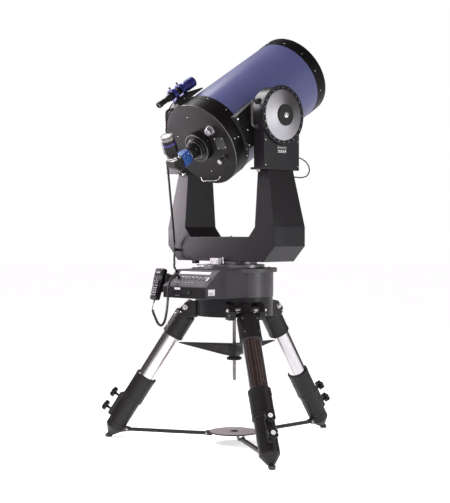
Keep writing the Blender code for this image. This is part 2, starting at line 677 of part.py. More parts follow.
# -------------------------------------------------------------------------- finder
FU, FW = -0.100, 0.281
ft = tube_lathe(
    FU,
    FW,
    [(0.0160, -0.3650), (0.0170, -0.3400), (0.0120, -0.3350), (0.0140, -0.3000), (0.0190, -0.2850), (0.0190, -0.1620), (0.0290, -0.1400), (0.0290, -0.0820)],
    28,
)
finish("finder_scope", ft, "blue_anodised", tube)
fbk = tube_lathe(FU, FW, [(0.0200, -0.2550), (0.0340, -0.2550), (0.0340, -0.2320), (0.0200, -0.2320)], 28, closed=True)
fbk = finish("finder_bracket", fbk, "black_paint", tube)
front_ring = tube_lathe(FU, FW, [(0.0200, -0.1960), (0.0340, -0.1960), (0.0340, -0.1730), (0.0200, -0.1730)], 28, closed=True)
boolean(fbk, finish("guide_ring_front", front_ring, None, tube, False), "UNION")
tilt = math.atan2(-FU, FW)
RAD = W * math.cos(tilt) - X * math.sin(tilt)         # out of the tube towards the finder
SID = D.cross(RAD).normalized()
rail = prism(
    [(-0.268, 0.2300), (-0.268, 0.2500), (-0.250, 0.2690), (-0.165, 0.2690), (-0.065, 0.2430), (-0.065, 0.2300)],
    lambda q, h: O + D * q[0] + RAD * q[1] + SID * h,
    (-0.019, 0.019),
)
boolean(fbk, finish("guide_rail", rail, None, tube, False), "UNION")
saddle = tube_lathe(0, 0, [(CELL_R + 0.0012, -0.40), (CELL_R + 0.0012, 0.30)], 36)
boolean(fbk, finish("cutter_rail", saddle, None, tube, False), "DIFFERENCE")

# upper stretch of the focuser cord, from the motor to the clip on the fork
FC_START = ota(-0.0345, -0.004, -0.437)
FC_TURN = ota(-0.1150, 0.002, -0.4490)
FC_DOWN = CLIP + Vector((0.0, -0.002, 0.060))
knots = [
    FC_START,
    FC_START - X * 0.020,
    ota(-0.088, 0.012, -0.4430),
    ota(-0.106, 0.013, -0.4470),
    FC_TURN,
    FC_TURN.lerp(FC_DOWN, 0.15),
    FC_TURN.lerp(FC_DOWN, 0.50),
    FC_TURN.lerp(FC_DOWN, 0.85),
    CLIP + Vector((0.0, -0.001, 0.0330)),
    CLIP + Vector((0.0, 0.0, 0.0134)),
]
tube_curve("focuser_cord_upper", smooth_route(knots, 0.0240), 0.0062, "cord_rubber", fork)

# ============================================================================ the legs
for leg, azimuth in LEG_AZIMUTHS.items():
    along, outw, side = leg_dirs(azimuth)
    radial, tangent = leg_frame(azimuth)
    pivot = AXIS + leg_point(azimuth, 0)
    upper_body = empty(f"leg_{leg}_body", pivot, base)
    lower_body = empty(f"lower_leg_{leg}_body", AXIS + leg_point(azimuth, 0.467), upper_body)
    o = leg_point(azimuth, 0)
    sock = lathe(
        o,
        along,
        [(0.027, -0.027), (0.0325, -0.020), (0.0325, 0.036), (SOCKET_R, 0.053), (SOCKET_R, 0.190), (TUBE_LEG_R + GAP * 2, 0.190), (TUBE_LEG_R + GAP * 2, 0.100)],
        24,
        ref=tangent,
    )
    finish(f"leg_socket_{leg}", sock, "black_paint", upper_body)
    t = lathe(o, along, [(TUBE_LEG_R, 0.1005), (TUBE_LEG_R, 0.640), (0.044, 0.640), (0.044, 0.112)], 24, ref=tangent)
    finish(f"leg_tube_{leg}", t, "chrome", upper_body)
    inner = TUBE_LEG_R + 0.0008
    low = lathe(
        o,
        along,
        [
            (inner, 0.467),
            (COLLAR_R, 0.467),
            (COLLAR_R, 0.627),
            (LOWER_R, 0.630),
            (LOWER_R, 0.8170),
            (0.0240, 0.8590),
            (0.0170, 0.8640),
            (0.0170, 0.8788),
        ],
        24,
        ref=tangent,
    )
    # the sleeve is bored from the top, deep enough for the tube inside it
    bm = bmesh.new()
    bmesh.ops.delete(low, geom=[f for f in low.faces if len(f.verts) > 4 and (f.calc_center_median() - leg_point(azimuth, 0.467)).length < 0.01], context="FACES_ONLY")
    rim = sorted((v for v in low.verts if abs((v.co - o).dot(along) - 0.467) < 1e-4), key=lambda v: (v.co - leg_point(azimuth, 0.467)).length)[:24]
    a_, u_, v_ = basis(along, tangent)
    rim.sort(key=lambda v: math.atan2((v.co - o).dot(v_), (v.co - o).dot(u_)) % (2 * math.pi - 1e-6))
    floor_ring = [low.verts.new(v.co + along * (0.775 - 0.467)) for v in rim]
    bridge(low, rim, floor_ring)
    low.faces.new(floor_ring)
    bm.free()
    low = finish(f"leg_lower_{leg}", low, "black_paint", lower_body)
    # flat pad under the foot tip
    foot_centre = leg_point(azimuth, 0.8788)
    foot_xy = leg_point(azimuth, LEG_LENGTH)
    pad = lathe((foot_xy.x, foot_xy.y, 0), (0, 0, 1), [(0.0150, 0.0), (0.0170, 0.006), (0.0165, 0.018)], 20)
    boolean(low, finish(f"guide_foot_pad_{leg}", pad, None, lower_body, False), "UNION")
    # clamp strip on the outside and hinge lug on the inside
    strip = prism(
        [(0.628, 0.0516), (0.628, 0.070), (0.634, 0.074), (0.765, 0.074), (0.775, 0.070), (0.775, 0.0516)],
        lambda q, h: o + along * q[0] + outw * q[1] + side * h,
        (-0.017, 0.017),
    )
    boolean(low, finish(f"guide_strip_{leg}", strip, None, lower_body, False), "UNION")
    hinge = radial * BAR_HINGE[0] + Vector((0, 0, BAR_HINGE[1]))
    for sgn in (-1, 1):
        ear = prism(
            [(BAR_HINGE[0] - 0.011, BAR_HINGE[1] - 0.011), (BAR_HINGE[0] + 0.035, BAR_HINGE[1] - 0.016), (BAR_HINGE[0] + 0.035, BAR_HINGE[1] + 0.020), (BAR_HINGE[0] - 0.011, BAR_HINGE[1] + 0.011)],
            lambda q, h: radial * q[0] + Vector((0, 0, q[1])) + tangent * h,
            (sgn * 0.0117, sgn * 0.0165),
        )
        boolean(low, finish(f"guide_ear_{leg}_{'ab'[sgn > 0]}", ear, None, lower_body, False), "UNION")
    bar_body = empty(f"spreader_bar_{leg}_body", AXIS + hinge, lower_body)
    bar = prism(
        [(0.1480, 0.0400), (0.1480, 0.0515), (0.1620, 0.0580), (BAR_HINGE[0] + 0.008, 0.0580), (BAR_HINGE[0] + 0.010, 0.0490), (BAR_HINGE[0] + 0.008, 0.0400)],
        lambda q, h: radial * q[0] + Vector((0, 0, q[1])) + tangent * h,
        (-0.0110, 0.0110),
    )
    finish(f"spreader_bar_{leg}", bar, "black_paint", bar_body, False)
    for pos, which in ((0.657, "upper"), (0.748, "lower")):
        kb = empty(f"clamp_{which}_{leg}_body", AXIS + leg_point(azimuth, pos, 0.074), lower_body)
        star = []
        for i in range(18):
            a = 2 * math.pi * i / 18
            r = 0.0262 + 0.0036 * math.cos(6 * a)
            star.append((r * math.cos(a), r * math.sin(a)))
        stem = [(0.0065 * math.cos(2 * math.pi * i / 18), 0.0065 * math.sin(2 * math.pi * i / 18)) for i in range(18)]
        kp = leg_point(azimuth, pos)
        k = loft([[kp + outw * h + along * (x * m) + side * (y * m) for x, y in shape] for shape, m, h in ((stem, 1, 0.0744), (stem, 1, 0.0990), (star, 1, 0.0995), (star, 1, 0.1180), (star, 0.85, 0.1220))])
        finish(f"clamp_knob_{leg}_{which}", k, "black_plastic", kb)

# =============================================================== tray and upper spreader
tray_body = empty("tray_body", AXIS + Vector((0, 0, TRAY_Z0)), base)
tray = lathe((0, 0, 0), (0, 0, 1), [(0.0130, TRAY_Z0), (TRAY_R - 0.002, TRAY_Z0), (TRAY_R, TRAY_Z0 + 0.002), (TRAY_R, TRAY_Z1), (0.0130, TRAY_Z1)], 36, closed=True)
tray = finish("accessory_tray", tray, "tray_metal", tray_body)
for leg, azimuth in LEG_AZIMUTHS.items():
    radial, tangent = leg_frame(azimuth)
    for sgn in (-1, 1):
        ear = prism(
            [(0.118, TRAY_Z0 + 0.003), (0.118, 0.046), (0.128, 0.038), (0.158, 0.038), (0.164, 0.044), (0.164, TRAY_Z0 + 0.003)],
            lambda q, h: radial * q[0] + Vector((0, 0, q[1])) + tangent * h,
            (sgn * 0.0130, sgn * 0.0170),
        )
        boolean(tray, finish(f"guide_tray_ear_{leg}_{'ab'[sgn > 0]}", ear, None, tray_body, False), "UNION")

knob_body = empty("spreader_knob_body", AXIS + Vector((0, 0, 0.4735)), base)
star = []
for i in range(36):
    a = 2 * math.pi * i / 36
    r = 0.0390 + 0.0030 * math.cos(6 * a)
    star.append((r * math.cos(a), r * math.sin(a)))
hole = [((ROD_R + 0.0012) * math.cos(2 * math.pi * i / 36), (ROD_R + 0.0012) * math.sin(2 * math.pi * i / 36)) for i in range(36)]
sk = bmesh.new()
loops = [(hole, 0.4565), (star, 0.4565), (star, 0.4735), (hole, 0.4735)]
rings = [[sk.verts.new((x, y, z)) for x, y in shape] for shape, z in loops]
for i in range(4):
    bridge(sk, rings[i], rings[(i + 1) % 4])
finish("spreader_knob", sk, "black_plastic", knob_body)

bracket_body = empty("spreader_bracket_body", AXIS + Vector((0, 0, 0.474)), knob_body)
hub = lathe((0, 0, 0), (0, 0, 1), [(ROD_R + 0.0012, 0.4740), (0.030, 0.4740), (0.030, 0.5405), (ROD_R + 0.0012, 0.5405)], 24, closed=True)
hub = finish("spreader_bracket", hub, "black_paint", bracket_body)
for leg, azimuth in LEG_AZIMUTHS.items():
    radial, tangent = leg_frame(azimuth)
    place = lambda q, h: radial * q[0] + Vector((0, 0, q[1])) + tangent * h
    web = prism([(0.020, 0.476), (0.060, 0.482), (0.300, 0.536), (0.312, 0.5400), (0.020, 0.5400)], place, (-0.0040, 0.0040))
    boolean(hub, finish(f"guide_web_{leg}", web, None, bracket_body, False), "UNION")
    flat = [(0.016, -0.024), (0.290, -0.012), (0.316, -0.004), (0.316, 0.004), (0.290, 0.012), (0.016, 0.024)]
    topf = prism(flat, lambda q, h: radial * q[0] + tangent * q[1] + Vector((0, 0, h)), (0.5385, 0.5455))
    boolean(hub, finish(f"guide_flange_{leg}", topf, None, bracket_body, False), "UNION")
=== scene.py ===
"""Looks of the fork-mounted telescope and its tripod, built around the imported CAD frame.

Points are worked out in the mount's frame (azimuth axis at x = y = 0) and moved by AY into the row frame.
"""

import math

import bmesh
import bpy
from mathutils import Matrix, Vector


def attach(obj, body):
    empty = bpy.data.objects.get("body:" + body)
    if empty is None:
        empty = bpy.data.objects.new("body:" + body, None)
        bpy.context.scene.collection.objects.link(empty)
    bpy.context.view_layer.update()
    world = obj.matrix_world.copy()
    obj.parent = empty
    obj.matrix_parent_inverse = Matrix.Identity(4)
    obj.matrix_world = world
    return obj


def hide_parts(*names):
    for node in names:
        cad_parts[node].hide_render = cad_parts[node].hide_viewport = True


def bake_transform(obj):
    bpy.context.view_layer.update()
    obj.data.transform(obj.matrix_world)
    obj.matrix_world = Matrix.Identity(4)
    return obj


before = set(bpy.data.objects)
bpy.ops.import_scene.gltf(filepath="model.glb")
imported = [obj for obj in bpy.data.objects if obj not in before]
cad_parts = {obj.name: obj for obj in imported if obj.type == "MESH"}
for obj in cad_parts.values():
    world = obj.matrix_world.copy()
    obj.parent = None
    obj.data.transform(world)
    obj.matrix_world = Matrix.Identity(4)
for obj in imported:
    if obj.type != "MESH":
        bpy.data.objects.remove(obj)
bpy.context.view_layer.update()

COL = bpy.context.scene.collection
AY = -0.1065
SHIFT = Vector((0, AY, 0))
X, Y, Z = Vector((1, 0, 0)), Vector((0, 1, 0)), Vector((0, 0, 1))
ALT_Z = 1.7628
ALT = math.radians(31.3)
D = Vector((0, math.cos(ALT), math.sin(ALT)))
W = Vector((0, -math.sin(ALT), math.cos(ALT)))
O = Vector((0, 0, ALT_Z))
SLOPE = math.radians(33.2)
LEGS = {"right": 60.0, "back": 180.0, "left": -60.0}


def ota(u, w, s):
    return O + X * u + W * w + D * s


def leg_frame(azimuth):
    a = math.radians(azimuth)
    radial = Vector((math.sin(a), -math.cos(a), 0))
    return radial, Z.cross(radial)


def leg_dirs(azimuth):
    radial, tangent = leg_frame(azimuth)
    return (
        radial * math.sin(SLOPE) - Z * math.cos(SLOPE),
        radial * math.cos(SLOPE) + Z * math.sin(SLOPE),
        tangent,
    )


def leg_point(azimuth, t, off=0.0, side=0.0):
    radial, tangent = leg_frame(azimuth)
    along, out, tangent = leg_dirs(azimuth)
    return radial * 0.250 + Z * 0.745 + along * t + out * off + tangent * side


# ------------------------------------------------------------------------- camera
cam_data = bpy.data.cameras.new("camera")
cam_data.lens = 84.24
cam_data.sensor_width = 36.0
cam_data.clip_end = 100.0
camera = bpy.data.objects.new("camera", cam_data)
COL.objects.link(camera)
a_, y_, p_ = math.radians(45.6), -0.0079, 0.0171
fwd0 = Vector((-math.sin(a_), math.cos(a_), 0))
right0 = Vector((math.cos(a_), math.sin(a_), 0))
fwd = fwd0 * math.cos(y_) + right0 * math.sin(y_)
right = right0 * math.cos(y_) - fwd0 * math.sin(y_)
f2 = fwd * math.cos(p_) - Z * math.sin(p_)
u2 = Z * math.cos(p_) + fwd * math.sin(p_)
m = Matrix((right, u2, -f2)).transposed().to_4x4()
m.translation = Vector((4.5793, -4.4844, 1.1563)) + SHIFT
camera.matrix_world = m
bpy.context.scene.camera = camera


# ---------------------------------------------------------------------- mesh tools
def basis(axis, ref):
    a = Vector(axis).normalized()
    r = Vector(ref)
    r = (r - a * r.dot(a)).normalized()
    return a, r, a.cross(r)


def rounded(profile, default=0.0, steps=3):
    """Rounds the corners of a (radius, height[, fillet]) polyline."""
    pts = [(p[0], p[1], p[2] if len(p) > 2 else default) for p in profile]
    out = [pts[0][:2]]
    for i in range(1, len(pts) - 1):
        a, b, c = (Vector(pts[k][:2]) for k in (i - 1, i, i + 1))
        f = pts[i][2]
        ba, bc = a - b, c - b
        if f <= 0 or ba.length < 1e-7 or bc.length < 1e-7:
            out.append((b.x, b.y))
            continue
        angle = ba.angle(bc)
        if angle > math.radians(170):
            out.append((b.x, b.y))
            continue
        reach = min(f / math.tan(angle / 2), ba.length * 0.49, bc.length * 0.49)
        p, q = b + ba.normalized() * reach, b + bc.normalized() * reach
        for k in range(steps + 1):
            t = k / steps
            v = p * (1 - t) ** 2 + b * 2 * t * (1 - t) + q * t * t
            out.append((v.x, v.y))
    out.append(pts[-1][:2])
    return out


def turned(bm, origin, axis, profile, seg=64, closed=False, ref=(0.3, 0.2, 0.9), mat=0, fillet=0.0, shape=None, start=0.0):
    """A turned shell.  shape(angle) scales the radius, for scalloped or hexagonal outlines."""
    a, u, v = basis(axis, ref)
    origin = Vector(origin)
    if closed:
        profile = list(profile) + [profile[0], profile[1]]
        profile = rounded(profile, fillet)
        first = profile[0]
        profile = profile[1:-1]
    else:
        profile = rounded(profile, fillet)
    rings = []
    for r, h in profile:
        ring = []
        for i in range(seg):
            t = start + 2 * math.pi * i / seg
            k = shape(t, h) if shape else 1.0
            ring.append(bm.verts.new(origin + a * h + u * (r * k * math.cos(t)) + v * (r * k * math.sin(t))))
        rings.append(ring)
    faces = []
    pairs = list(zip(rings, rings[1:]))
    if closed:
        pairs.append((rings[-1], rings[0]))
    for one, two in pairs:
        for i in range(seg):
            j = (i + 1) % seg
            faces.append(bm.faces.new((one[i], one[j], two[j], two[i])))
    if not closed:
        faces.append(bm.faces.new(rings[0][::-1]))
        faces.append(bm.faces.new(rings[-1]))
    for f in faces:
        f.material_index = mat
    return faces


def skin(bm, loops, mat=0, caps=True):
    rings = [[bm.verts.new(p) for p in loop] for loop in loops]
    faces = []
    n = len(rings[0])
    for one, two in zip(rings, rings[1:]):
        for i in range(n):
            j = (i + 1) % n
            faces.append(bm.faces.new((one[i], one[j], two[j], two[i])))
    if caps:
        faces.append(bm.faces.new(rings[0][::-1]))
        faces.append(bm.faces.new(rings[-1]))
    for f in faces:
        f.material_index = mat
    return faces


def block(bm, place, lo, hi, bevel=0.001, mat=0, segs=2):
    """A box with rounded edges.  place maps (a, b, c) to a point."""
    part = bmesh.new()
    c = [part.verts.new((x, y, z)) for z in (lo[2], hi[2]) for x, y in ((lo[0], lo[1]), (hi[0], lo[1]), (hi[0], hi[1]), (lo[0], hi[1]))]
    for q in ((0, 3, 2, 1), (4, 5, 6, 7), (0, 1, 5, 4), (1, 2, 6, 5), (2, 3, 7, 6), (3, 0, 4, 7)):
        part.faces.new([c[i] for i in q])
    soften(part, bevel, segs)
    join(bm, part, place, mat)


def join(bm, part, place=None, mat=None):
    """Copies part into bm through place, and frees part."""
    table = {}
    for v in part.verts:
        table[v] = bm.verts.new(place(*v.co) if place else v.co)
    for f in part.faces:
        g = bm.faces.new([table[v] for v in f.verts])
        g.material_index = f.material_index if mat is None else mat
    part.free()


def soften(bm, width, segs=2, angle=24):
    """Rounds every edge sharper than angle."""
    if width <= 0:
        return
    bm.normal_update()
    edges = [e for e in bm.edges if len(e.link_faces) == 2 and e.calc_face_angle(0) > math.radians(angle)]
    bmesh.ops.bevel(bm, geom=edges, offset=width, segments=segs, profile=0.5, affect="EDGES", clamp_overlap=True)


def plate(bm, outline, place, depth, bevel=0.001, mat=0, segs=2):
    """A prism over an outline, with rounded edges.  place(a, b, h)."""
    part = bmesh.new()
    skin(part, [[(p[0], p[1], h) for p in outline] for h in depth])
    bmesh.ops.recalc_face_normals(part, faces=part.faces)
    soften(part, bevel, segs)
    join(bm, part, place, mat)


def screw(bm, origin, axis, r, h, kind="socket", mat=0, ref=(0.31, 0.22, 0.87), dark=None):
    """A small screw head: socket cap, hexagon or dome."""
    dark = mat if dark is None else dark
    hexa = lambda t: math.cos(math.pi / 6) / math.cos((t % (math.pi / 3)) - math.pi / 6)
    if kind == "hex":
        turned(bm, origin, axis, [(r * 1.25, 0), (r * 1.25, h * 0.2, h * 0.05)], 24, mat=mat, ref=ref)
        turned(bm, origin, axis, [(r, h * 0.2), (r, h * 0.9, h * 0.1), (r * 0.86, h)], 24, mat=mat, ref=ref, shape=lambda t, q: hexa(t))
        return
    if kind == "dome":
        pts = [(r, 0), (r, h * 0.15)] + [(r * math.cos(t), h * 0.15 + h * 0.85 * math.sin(t)) for t in (0.35, 0.7, 1.0, 1.25)] + [(r * 0.08, h)]
        turned(bm, origin, axis, pts, 24, mat=mat, ref=ref)
        return
    turned(bm, origin, axis, [(r, -0.0002), (r, h, h * 0.3), (r * 0.56, h)], 20, mat=mat, ref=ref)
    turned(bm, origin, axis, [(r * 0.56, h), (r * 0.52, h * 0.98), (r * 0.50, h * 0.4)], 18, mat=dark, ref=ref, shape=lambda t, q: hexa(t))


def knurl(count, depth):
    return lambda t, h: 1.0 - depth * (0.5 + 0.5 * math.cos(count * t)) ** 2


def tube_mesh(bm, points, radius, seg=10, mat=0, scale=None, caps=True):
    """A round tube along points, turned as little as possible."""
    pts = [Vector(p) for p in points]
    t0 = (pts[1] - pts[0]).normalized()
    u = t0.orthogonal().normalized()
    rings = []
    last = t0
    for i, p in enumerate(pts):
        t = (pts[min(i + 1, len(pts) - 1)] - pts[max(i - 1, 0)]).normalized()
        u = (last.rotation_difference(t) @ u)
        u = (u - t * u.dot(t)).normalized()
        v = t.cross(u)
        last = t
        r = radius * (scale[i] if scale else 1.0)
        rings.append([bm.verts.new(p + u * (r * math.cos(2 * math.pi * k / seg)) + v * (r * math.sin(2 * math.pi * k / seg))) for k in range(seg)])
    for one, two in zip(rings, rings[1:]):
        for k in range(seg):
            j = (k + 1) % seg
            bm.faces.new((one[k], one[j], two[j], two[k])).material_index = mat
    if caps:
        bm.faces.new(rings[0][::-1]).material_index = mat
        bm.faces.new(rings[-1]).material_index = mat


def subtract(bm, cutter):
    """Cuts cutter from bm with an exact Boolean, and returns the result as a new bmesh."""
    objs = []
    for part in (bm, cutter):
        bmesh.ops.recalc_face_normals(part, faces=part.faces)
        mesh = bpy.data.meshes.new("cutting")
        part.to_mesh(mesh)
        part.free()
        ob = bpy.data.objects.new("cutting", mesh)
        COL.objects.link(ob)
        objs.append(ob)
    mod = objs[0].modifiers.new("cut", "BOOLEAN")
    mod.operation = "DIFFERENCE"
    mod.solver = "EXACT"
    mod.object = objs[1]
    bpy.context.view_layer.update()
    mesh = bpy.data.meshes.new_from_object(objs[0].evaluated_get(bpy.context.evaluated_depsgraph_get()))
    out = bmesh.new()
    out.from_mesh(mesh)
    for ob in objs:
        data = ob.data
        bpy.data.objects.remove(ob, do_unlink=True)
        bpy.data.meshes.remove(data)
    bpy.data.meshes.remove(mesh)
    return out


def piece(name, bm, mats, body, nodes=(), angle=32, recalc=True):
    """Links a finished mesh as a piece of the model."""
    if recalc:
        bmesh.ops.recalc_face_normals(bm, faces=bm.faces)
    bmesh.ops.translate(bm, verts=bm.verts, vec=SHIFT)
    mesh = bpy.data.meshes.new(name)
    bm.to_mesh(mesh)
    bm.free()
    for mt in mats if isinstance(mats, (list, tuple)) else [mats]:
        mesh.materials.append(mt)
    mesh.shade_smooth()
    mesh.set_sharp_from_angle(angle=math.radians(angle))
    ob = bpy.data.objects.new(name, mesh)
    COL.objects.link(ob)
    even = ob.modifiers.new("even_normals", "WEIGHTED_NORMAL")
    even.mode = "FACE_AREA"
    even.weight = 90
    even.keep_sharp = True
    bpy.context.view_layer.update()
    flat = bpy.data.meshes.new_from_object(ob.evaluated_get(bpy.context.evaluated_depsgraph_get()))
    ob.modifiers.clear()
    ob.data = flat
    bpy.data.meshes.remove(mesh)
    flat.name = name
    if body:
        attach(ob, body)
    if nodes:
        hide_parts(*nodes)
    return ob


# ----------------------------------------------------------------------- materials
class Nodes:
    def __init__(self, name):
        self.mat = bpy.data.materials.new(name)
        self.mat.use_nodes = True
        self.nt = self.mat.node_tree
        self.bsdf = self.nt.nodes["Principled BSDF"]
        self.coord = self.nt.nodes.new("ShaderNodeTexCoord").outputs["Object"]

    def link(self, a, b):
        self.nt.links.new(a, b)

    def put(self, socket, value):
        if isinstance(value, bpy.types.NodeSocket):
            self.link(value, socket)
        else:
            socket.default_value = value

    def m(self, op, a, b=None, c=None, clamp=False):
        n = self.nt.nodes.new("ShaderNodeMath")
        n.operation = op
        n.use_clamp = clamp
        for i, v in enumerate((a, b, c)):
            if v is not None:
                self.put(n.inputs[i], v)
        return n.outputs[0]

    def vec(self, op, a, b=None):
        n = self.nt.nodes.new("ShaderNodeVectorMath")
        n.operation = op
        self.put(n.inputs[0], a)
        if b is not None:
            self.put(n.inputs[1], b)
        return n.outputs["Value"] if op in ("DOT_PRODUCT", "LENGTH") else n.outputs[0]

    def noise(self, scale, detail=3.0, rough=0.55, coord=None, w=None):
        n = self.nt.nodes.new("ShaderNodeTexNoise")
        if w is not None:
            n.noise_dimensions = "1D"
            self.put(n.inputs["W"], w)
        else:
            self.put(n.inputs["Vector"], coord or self.coord)
        n.inputs["Scale"].default_value = scale
        n.inputs["Detail"].default_value = detail
        n.inputs["Roughness"].default_value = rough
        return n.outputs["Fac"]

    def stretch(self, scale):
        n = self.nt.nodes.new("ShaderNodeMapping")
        self.link(self.coord, n.inputs["Vector"])
        n.inputs["Scale"].default_value = scale
        return n.outputs[0]

    def remap(self, v, a, b, c, d, smooth=False):
        n = self.nt.nodes.new("ShaderNodeMapRange")
        if smooth:
            n.interpolation_type = "SMOOTHSTEP"
        self.put(n.inputs["Value"], v)
        for key, val in (("From Min", a), ("From Max", b), ("To Min", c), ("To Max", d)):
            n.inputs[key].default_value = val
        return n.outputs["Result"]

    def mix(self, fac, a, b):
        n = self.nt.nodes.new("ShaderNodeMix")
        n.data_type = "RGBA"
        self.put(n.inputs["Factor"], fac)
        for key, val in ((6, a), (7, b)):
            self.put(n.inputs[key], (*val, 1) if isinstance(val, (tuple, list)) and len(val) == 3 else val)
        return n.outputs[2]

    def bump(self, height, strength, distance, normal=None):
        n = self.nt.nodes.new("ShaderNodeBump")
        n.inputs["Strength"].default_value = strength
        n.inputs["Distance"].default_value = distance
        self.put(n.inputs["Height"], height)
        if normal is not None:
            self.link(normal, n.inputs["Normal"])
        return n.outputs[0]

    def radial(self, centre, axis):
        """Distance from an axis, and angle round it."""
        a, u, v = basis(axis, (0.0, -math.sin(ALT), math.cos(ALT)) if abs(Vector(axis).dot(W)) < 0.9 else (1, 0, 0))
        c = Vector(centre) + SHIFT
        p = self.vec("SUBTRACT", self.coord, tuple(c))
        pu, pv = self.vec("DOT_PRODUCT", p, tuple(u)), self.vec("DOT_PRODUCT", p, tuple(v))
        r = self.m("SQRT", self.m("ADD", self.m("MULTIPLY", pu, pu), self.m("MULTIPLY", pv, pv)))
        return r, self.m("ARCTAN2", pv, pu)

    def done(self, colour=None, rough=None, normal=None, metal=0.0, spec=0.5, coat=0.0, coat_rough=0.1, sheen=0.0, aniso=0.0, ior=None):
        b = self.bsdf.inputs
        if colour is not None:
            self.put(b["Base Color"], colour)
        if rough is not None:
            self.put(b["Roughness"], rough)
        if normal is not None:
            self.link(normal, b["Normal"])
        b["Metallic"].default_value = metal
        b["Specular IOR Level"].default_value = spec
        b["Coat Weight"].default_value = coat
        b["Coat Roughness"].default_value = coat_rough
        b["Sheen Weight"].default_value = sheen
        b["Anisotropic"].default_value = aniso
        if ior:
            b["IOR"].default_value = ior
        return self.mat


def shade(c, k):
    return tuple(min(1.0, x * k) for x in c)


def paint(name, base, rough=0.42, var=0.14, peel=1100, depth=0.00004, strength=0.35, edge_wear_and_highlight=None, spec=0.5, coat=0.0, metal=0.0, rough_var=0.07, speck=None):
    """Enamel or powder coat: slow colour drift, orange peel, uneven gloss, and lighter colour on sharp edges, partly
    wear and partly a painted highlight.
    """
    n = Nodes(name)
    colour = n.mix(n.remap(n.noise(7.0, 4.0), 0.3, 0.7, 0, 1), shade(base, 1 - var), shade(base, 1 + var))
    if speck:
        dots = n.remap(n.noise(2600, 1.0, 0.4), 0.58, 0.74, 0.0, speck[1])
        colour = n.mix(dots, colour, speck[0])
    if edge_wear_and_highlight:
        # Pointiness lightens the paint on sharp edges: partly edge wear, partly a painted highlight along the edges.
        g = n.nt.nodes.new("ShaderNodeNewGeometry").outputs["Pointiness"]
        edge_wear_highlight_mask = n.remap(n.m("ADD", g, n.m("MULTIPLY", n.m("SUBTRACT", n.noise(90, 4.0), 0.5), 0.06)), 0.535, 0.60, 0.0, edge_wear_and_highlight[1], True)
        colour = n.mix(edge_wear_highlight_mask, colour, edge_wear_and_highlight[0])
    r = n.remap(n.noise(18.0, 5.0, 0.6), 0.3, 0.7, rough - rough_var, rough + rough_var)
    return n.done(colour, r, n.bump(n.noise(peel, 2.0), strength, depth), metal, spec, coat, 0.18)


def brushed(name, base, rough=0.3, direction=(900, 12, 900), metal=1.0, var=0.12, strength=0.25, aniso=0.3):
    """Metal with straight, fine grinding marks."""
    n = Nodes(name)
    lines = n.noise(1.0, 4.0, 0.7, n.stretch(direction))
    colour = n.mix(n.remap(lines, 0.25, 0.75, 0, 1), shade(base, 1 - var), shade(base, 1 + var))
    r = n.m("ADD", n.remap(lines, 0.2, 0.8, rough - 0.05, rough + 0.07), n.remap(n.noise(12, 3.0), 0.3, 0.7, -0.03, 0.04))
    return n.done(colour, r, n.bump(lines, strength, 0.00004), metal, aniso=aniso)


def spun(name, base, centre, axis, rough=0.28, metal=1.0, var=0.12, strength=0.3, lines=900, painted_ray_shade=0.0):
    """Lathe-turned metal: fine rings round an axis, with optional painted shade that changes with the angle round it.
    """
    n = Nodes(name)
    r, t = n.radial(centre, axis)
    rings = n.noise(lines, 3.0, 0.7, w=r)
    colour = n.mix(n.remap(rings, 0.25, 0.75, 0, 1), shade(base, 1 - var), shade(base, 1 + var))
    # Darkens the colour at some angles round the axis: painted shade between highlights that fan out on a spun face.
    if painted_ray_shade:
        swing = n.m("ABSOLUTE", n.m("SINE", n.m("ADD", t, -0.55)))
        colour = n.mix(n.m("MULTIPLY", n.m("POWER", swing, 2.5), painted_ray_shade), colour, shade(base, 0.30))
    rr = n.m("ADD", n.remap(rings, 0.2, 0.8, rough - 0.05, rough + 0.08), n.remap(n.noise(9, 3.0), 0.3, 0.7, -0.02, 0.03))
    return n.done(colour, rr, n.bump(rings, strength, 0.00004), metal)


def chrome(name, base=(0.64, 0.625, 0.635), rough=0.08):
    n = Nodes(name)
    haze = n.noise(35, 5.0, 0.65)
    smear = n.noise(1.0, 3.0, 0.6, n.stretch((160, 160, 9)))
    colour = n.mix(n.remap(haze, 0.3, 0.7, 0, 1), shade(base, 0.93), shade(base, 1.04))
    r = n.m("ADD", n.remap(haze, 0.35, 0.75, rough, rough + 0.07), n.remap(smear, 0.35, 0.8, 0.0, 0.05))
    return n.done(colour, r, n.bump(n.noise(260, 2.0), 0.05, 0.00003), 1.0)


def moulded(name, base, rough=0.5, grain=1600, strength=0.5, depth=0.00006, spec=0.45, var=0.10):
    """Moulded plastic with a fine spark-eroded texture."""
    n = Nodes(name)
    fine = n.noise(grain, 3.0, 0.7)
    colour = n.mix(n.remap(n.noise(14, 4.0), 0.3, 0.7, 0, 1), shade(base, 1 - var), shade(base, 1 + var))
    r = n.remap(fine, 0.3, 0.7, rough - 0.06, rough + 0.08)
    return n.done(colour, r, n.bump(fine, strength, depth), 0.0, spec)


BLACK = (0.0088, 0.0076, 0.0092)
M = {}
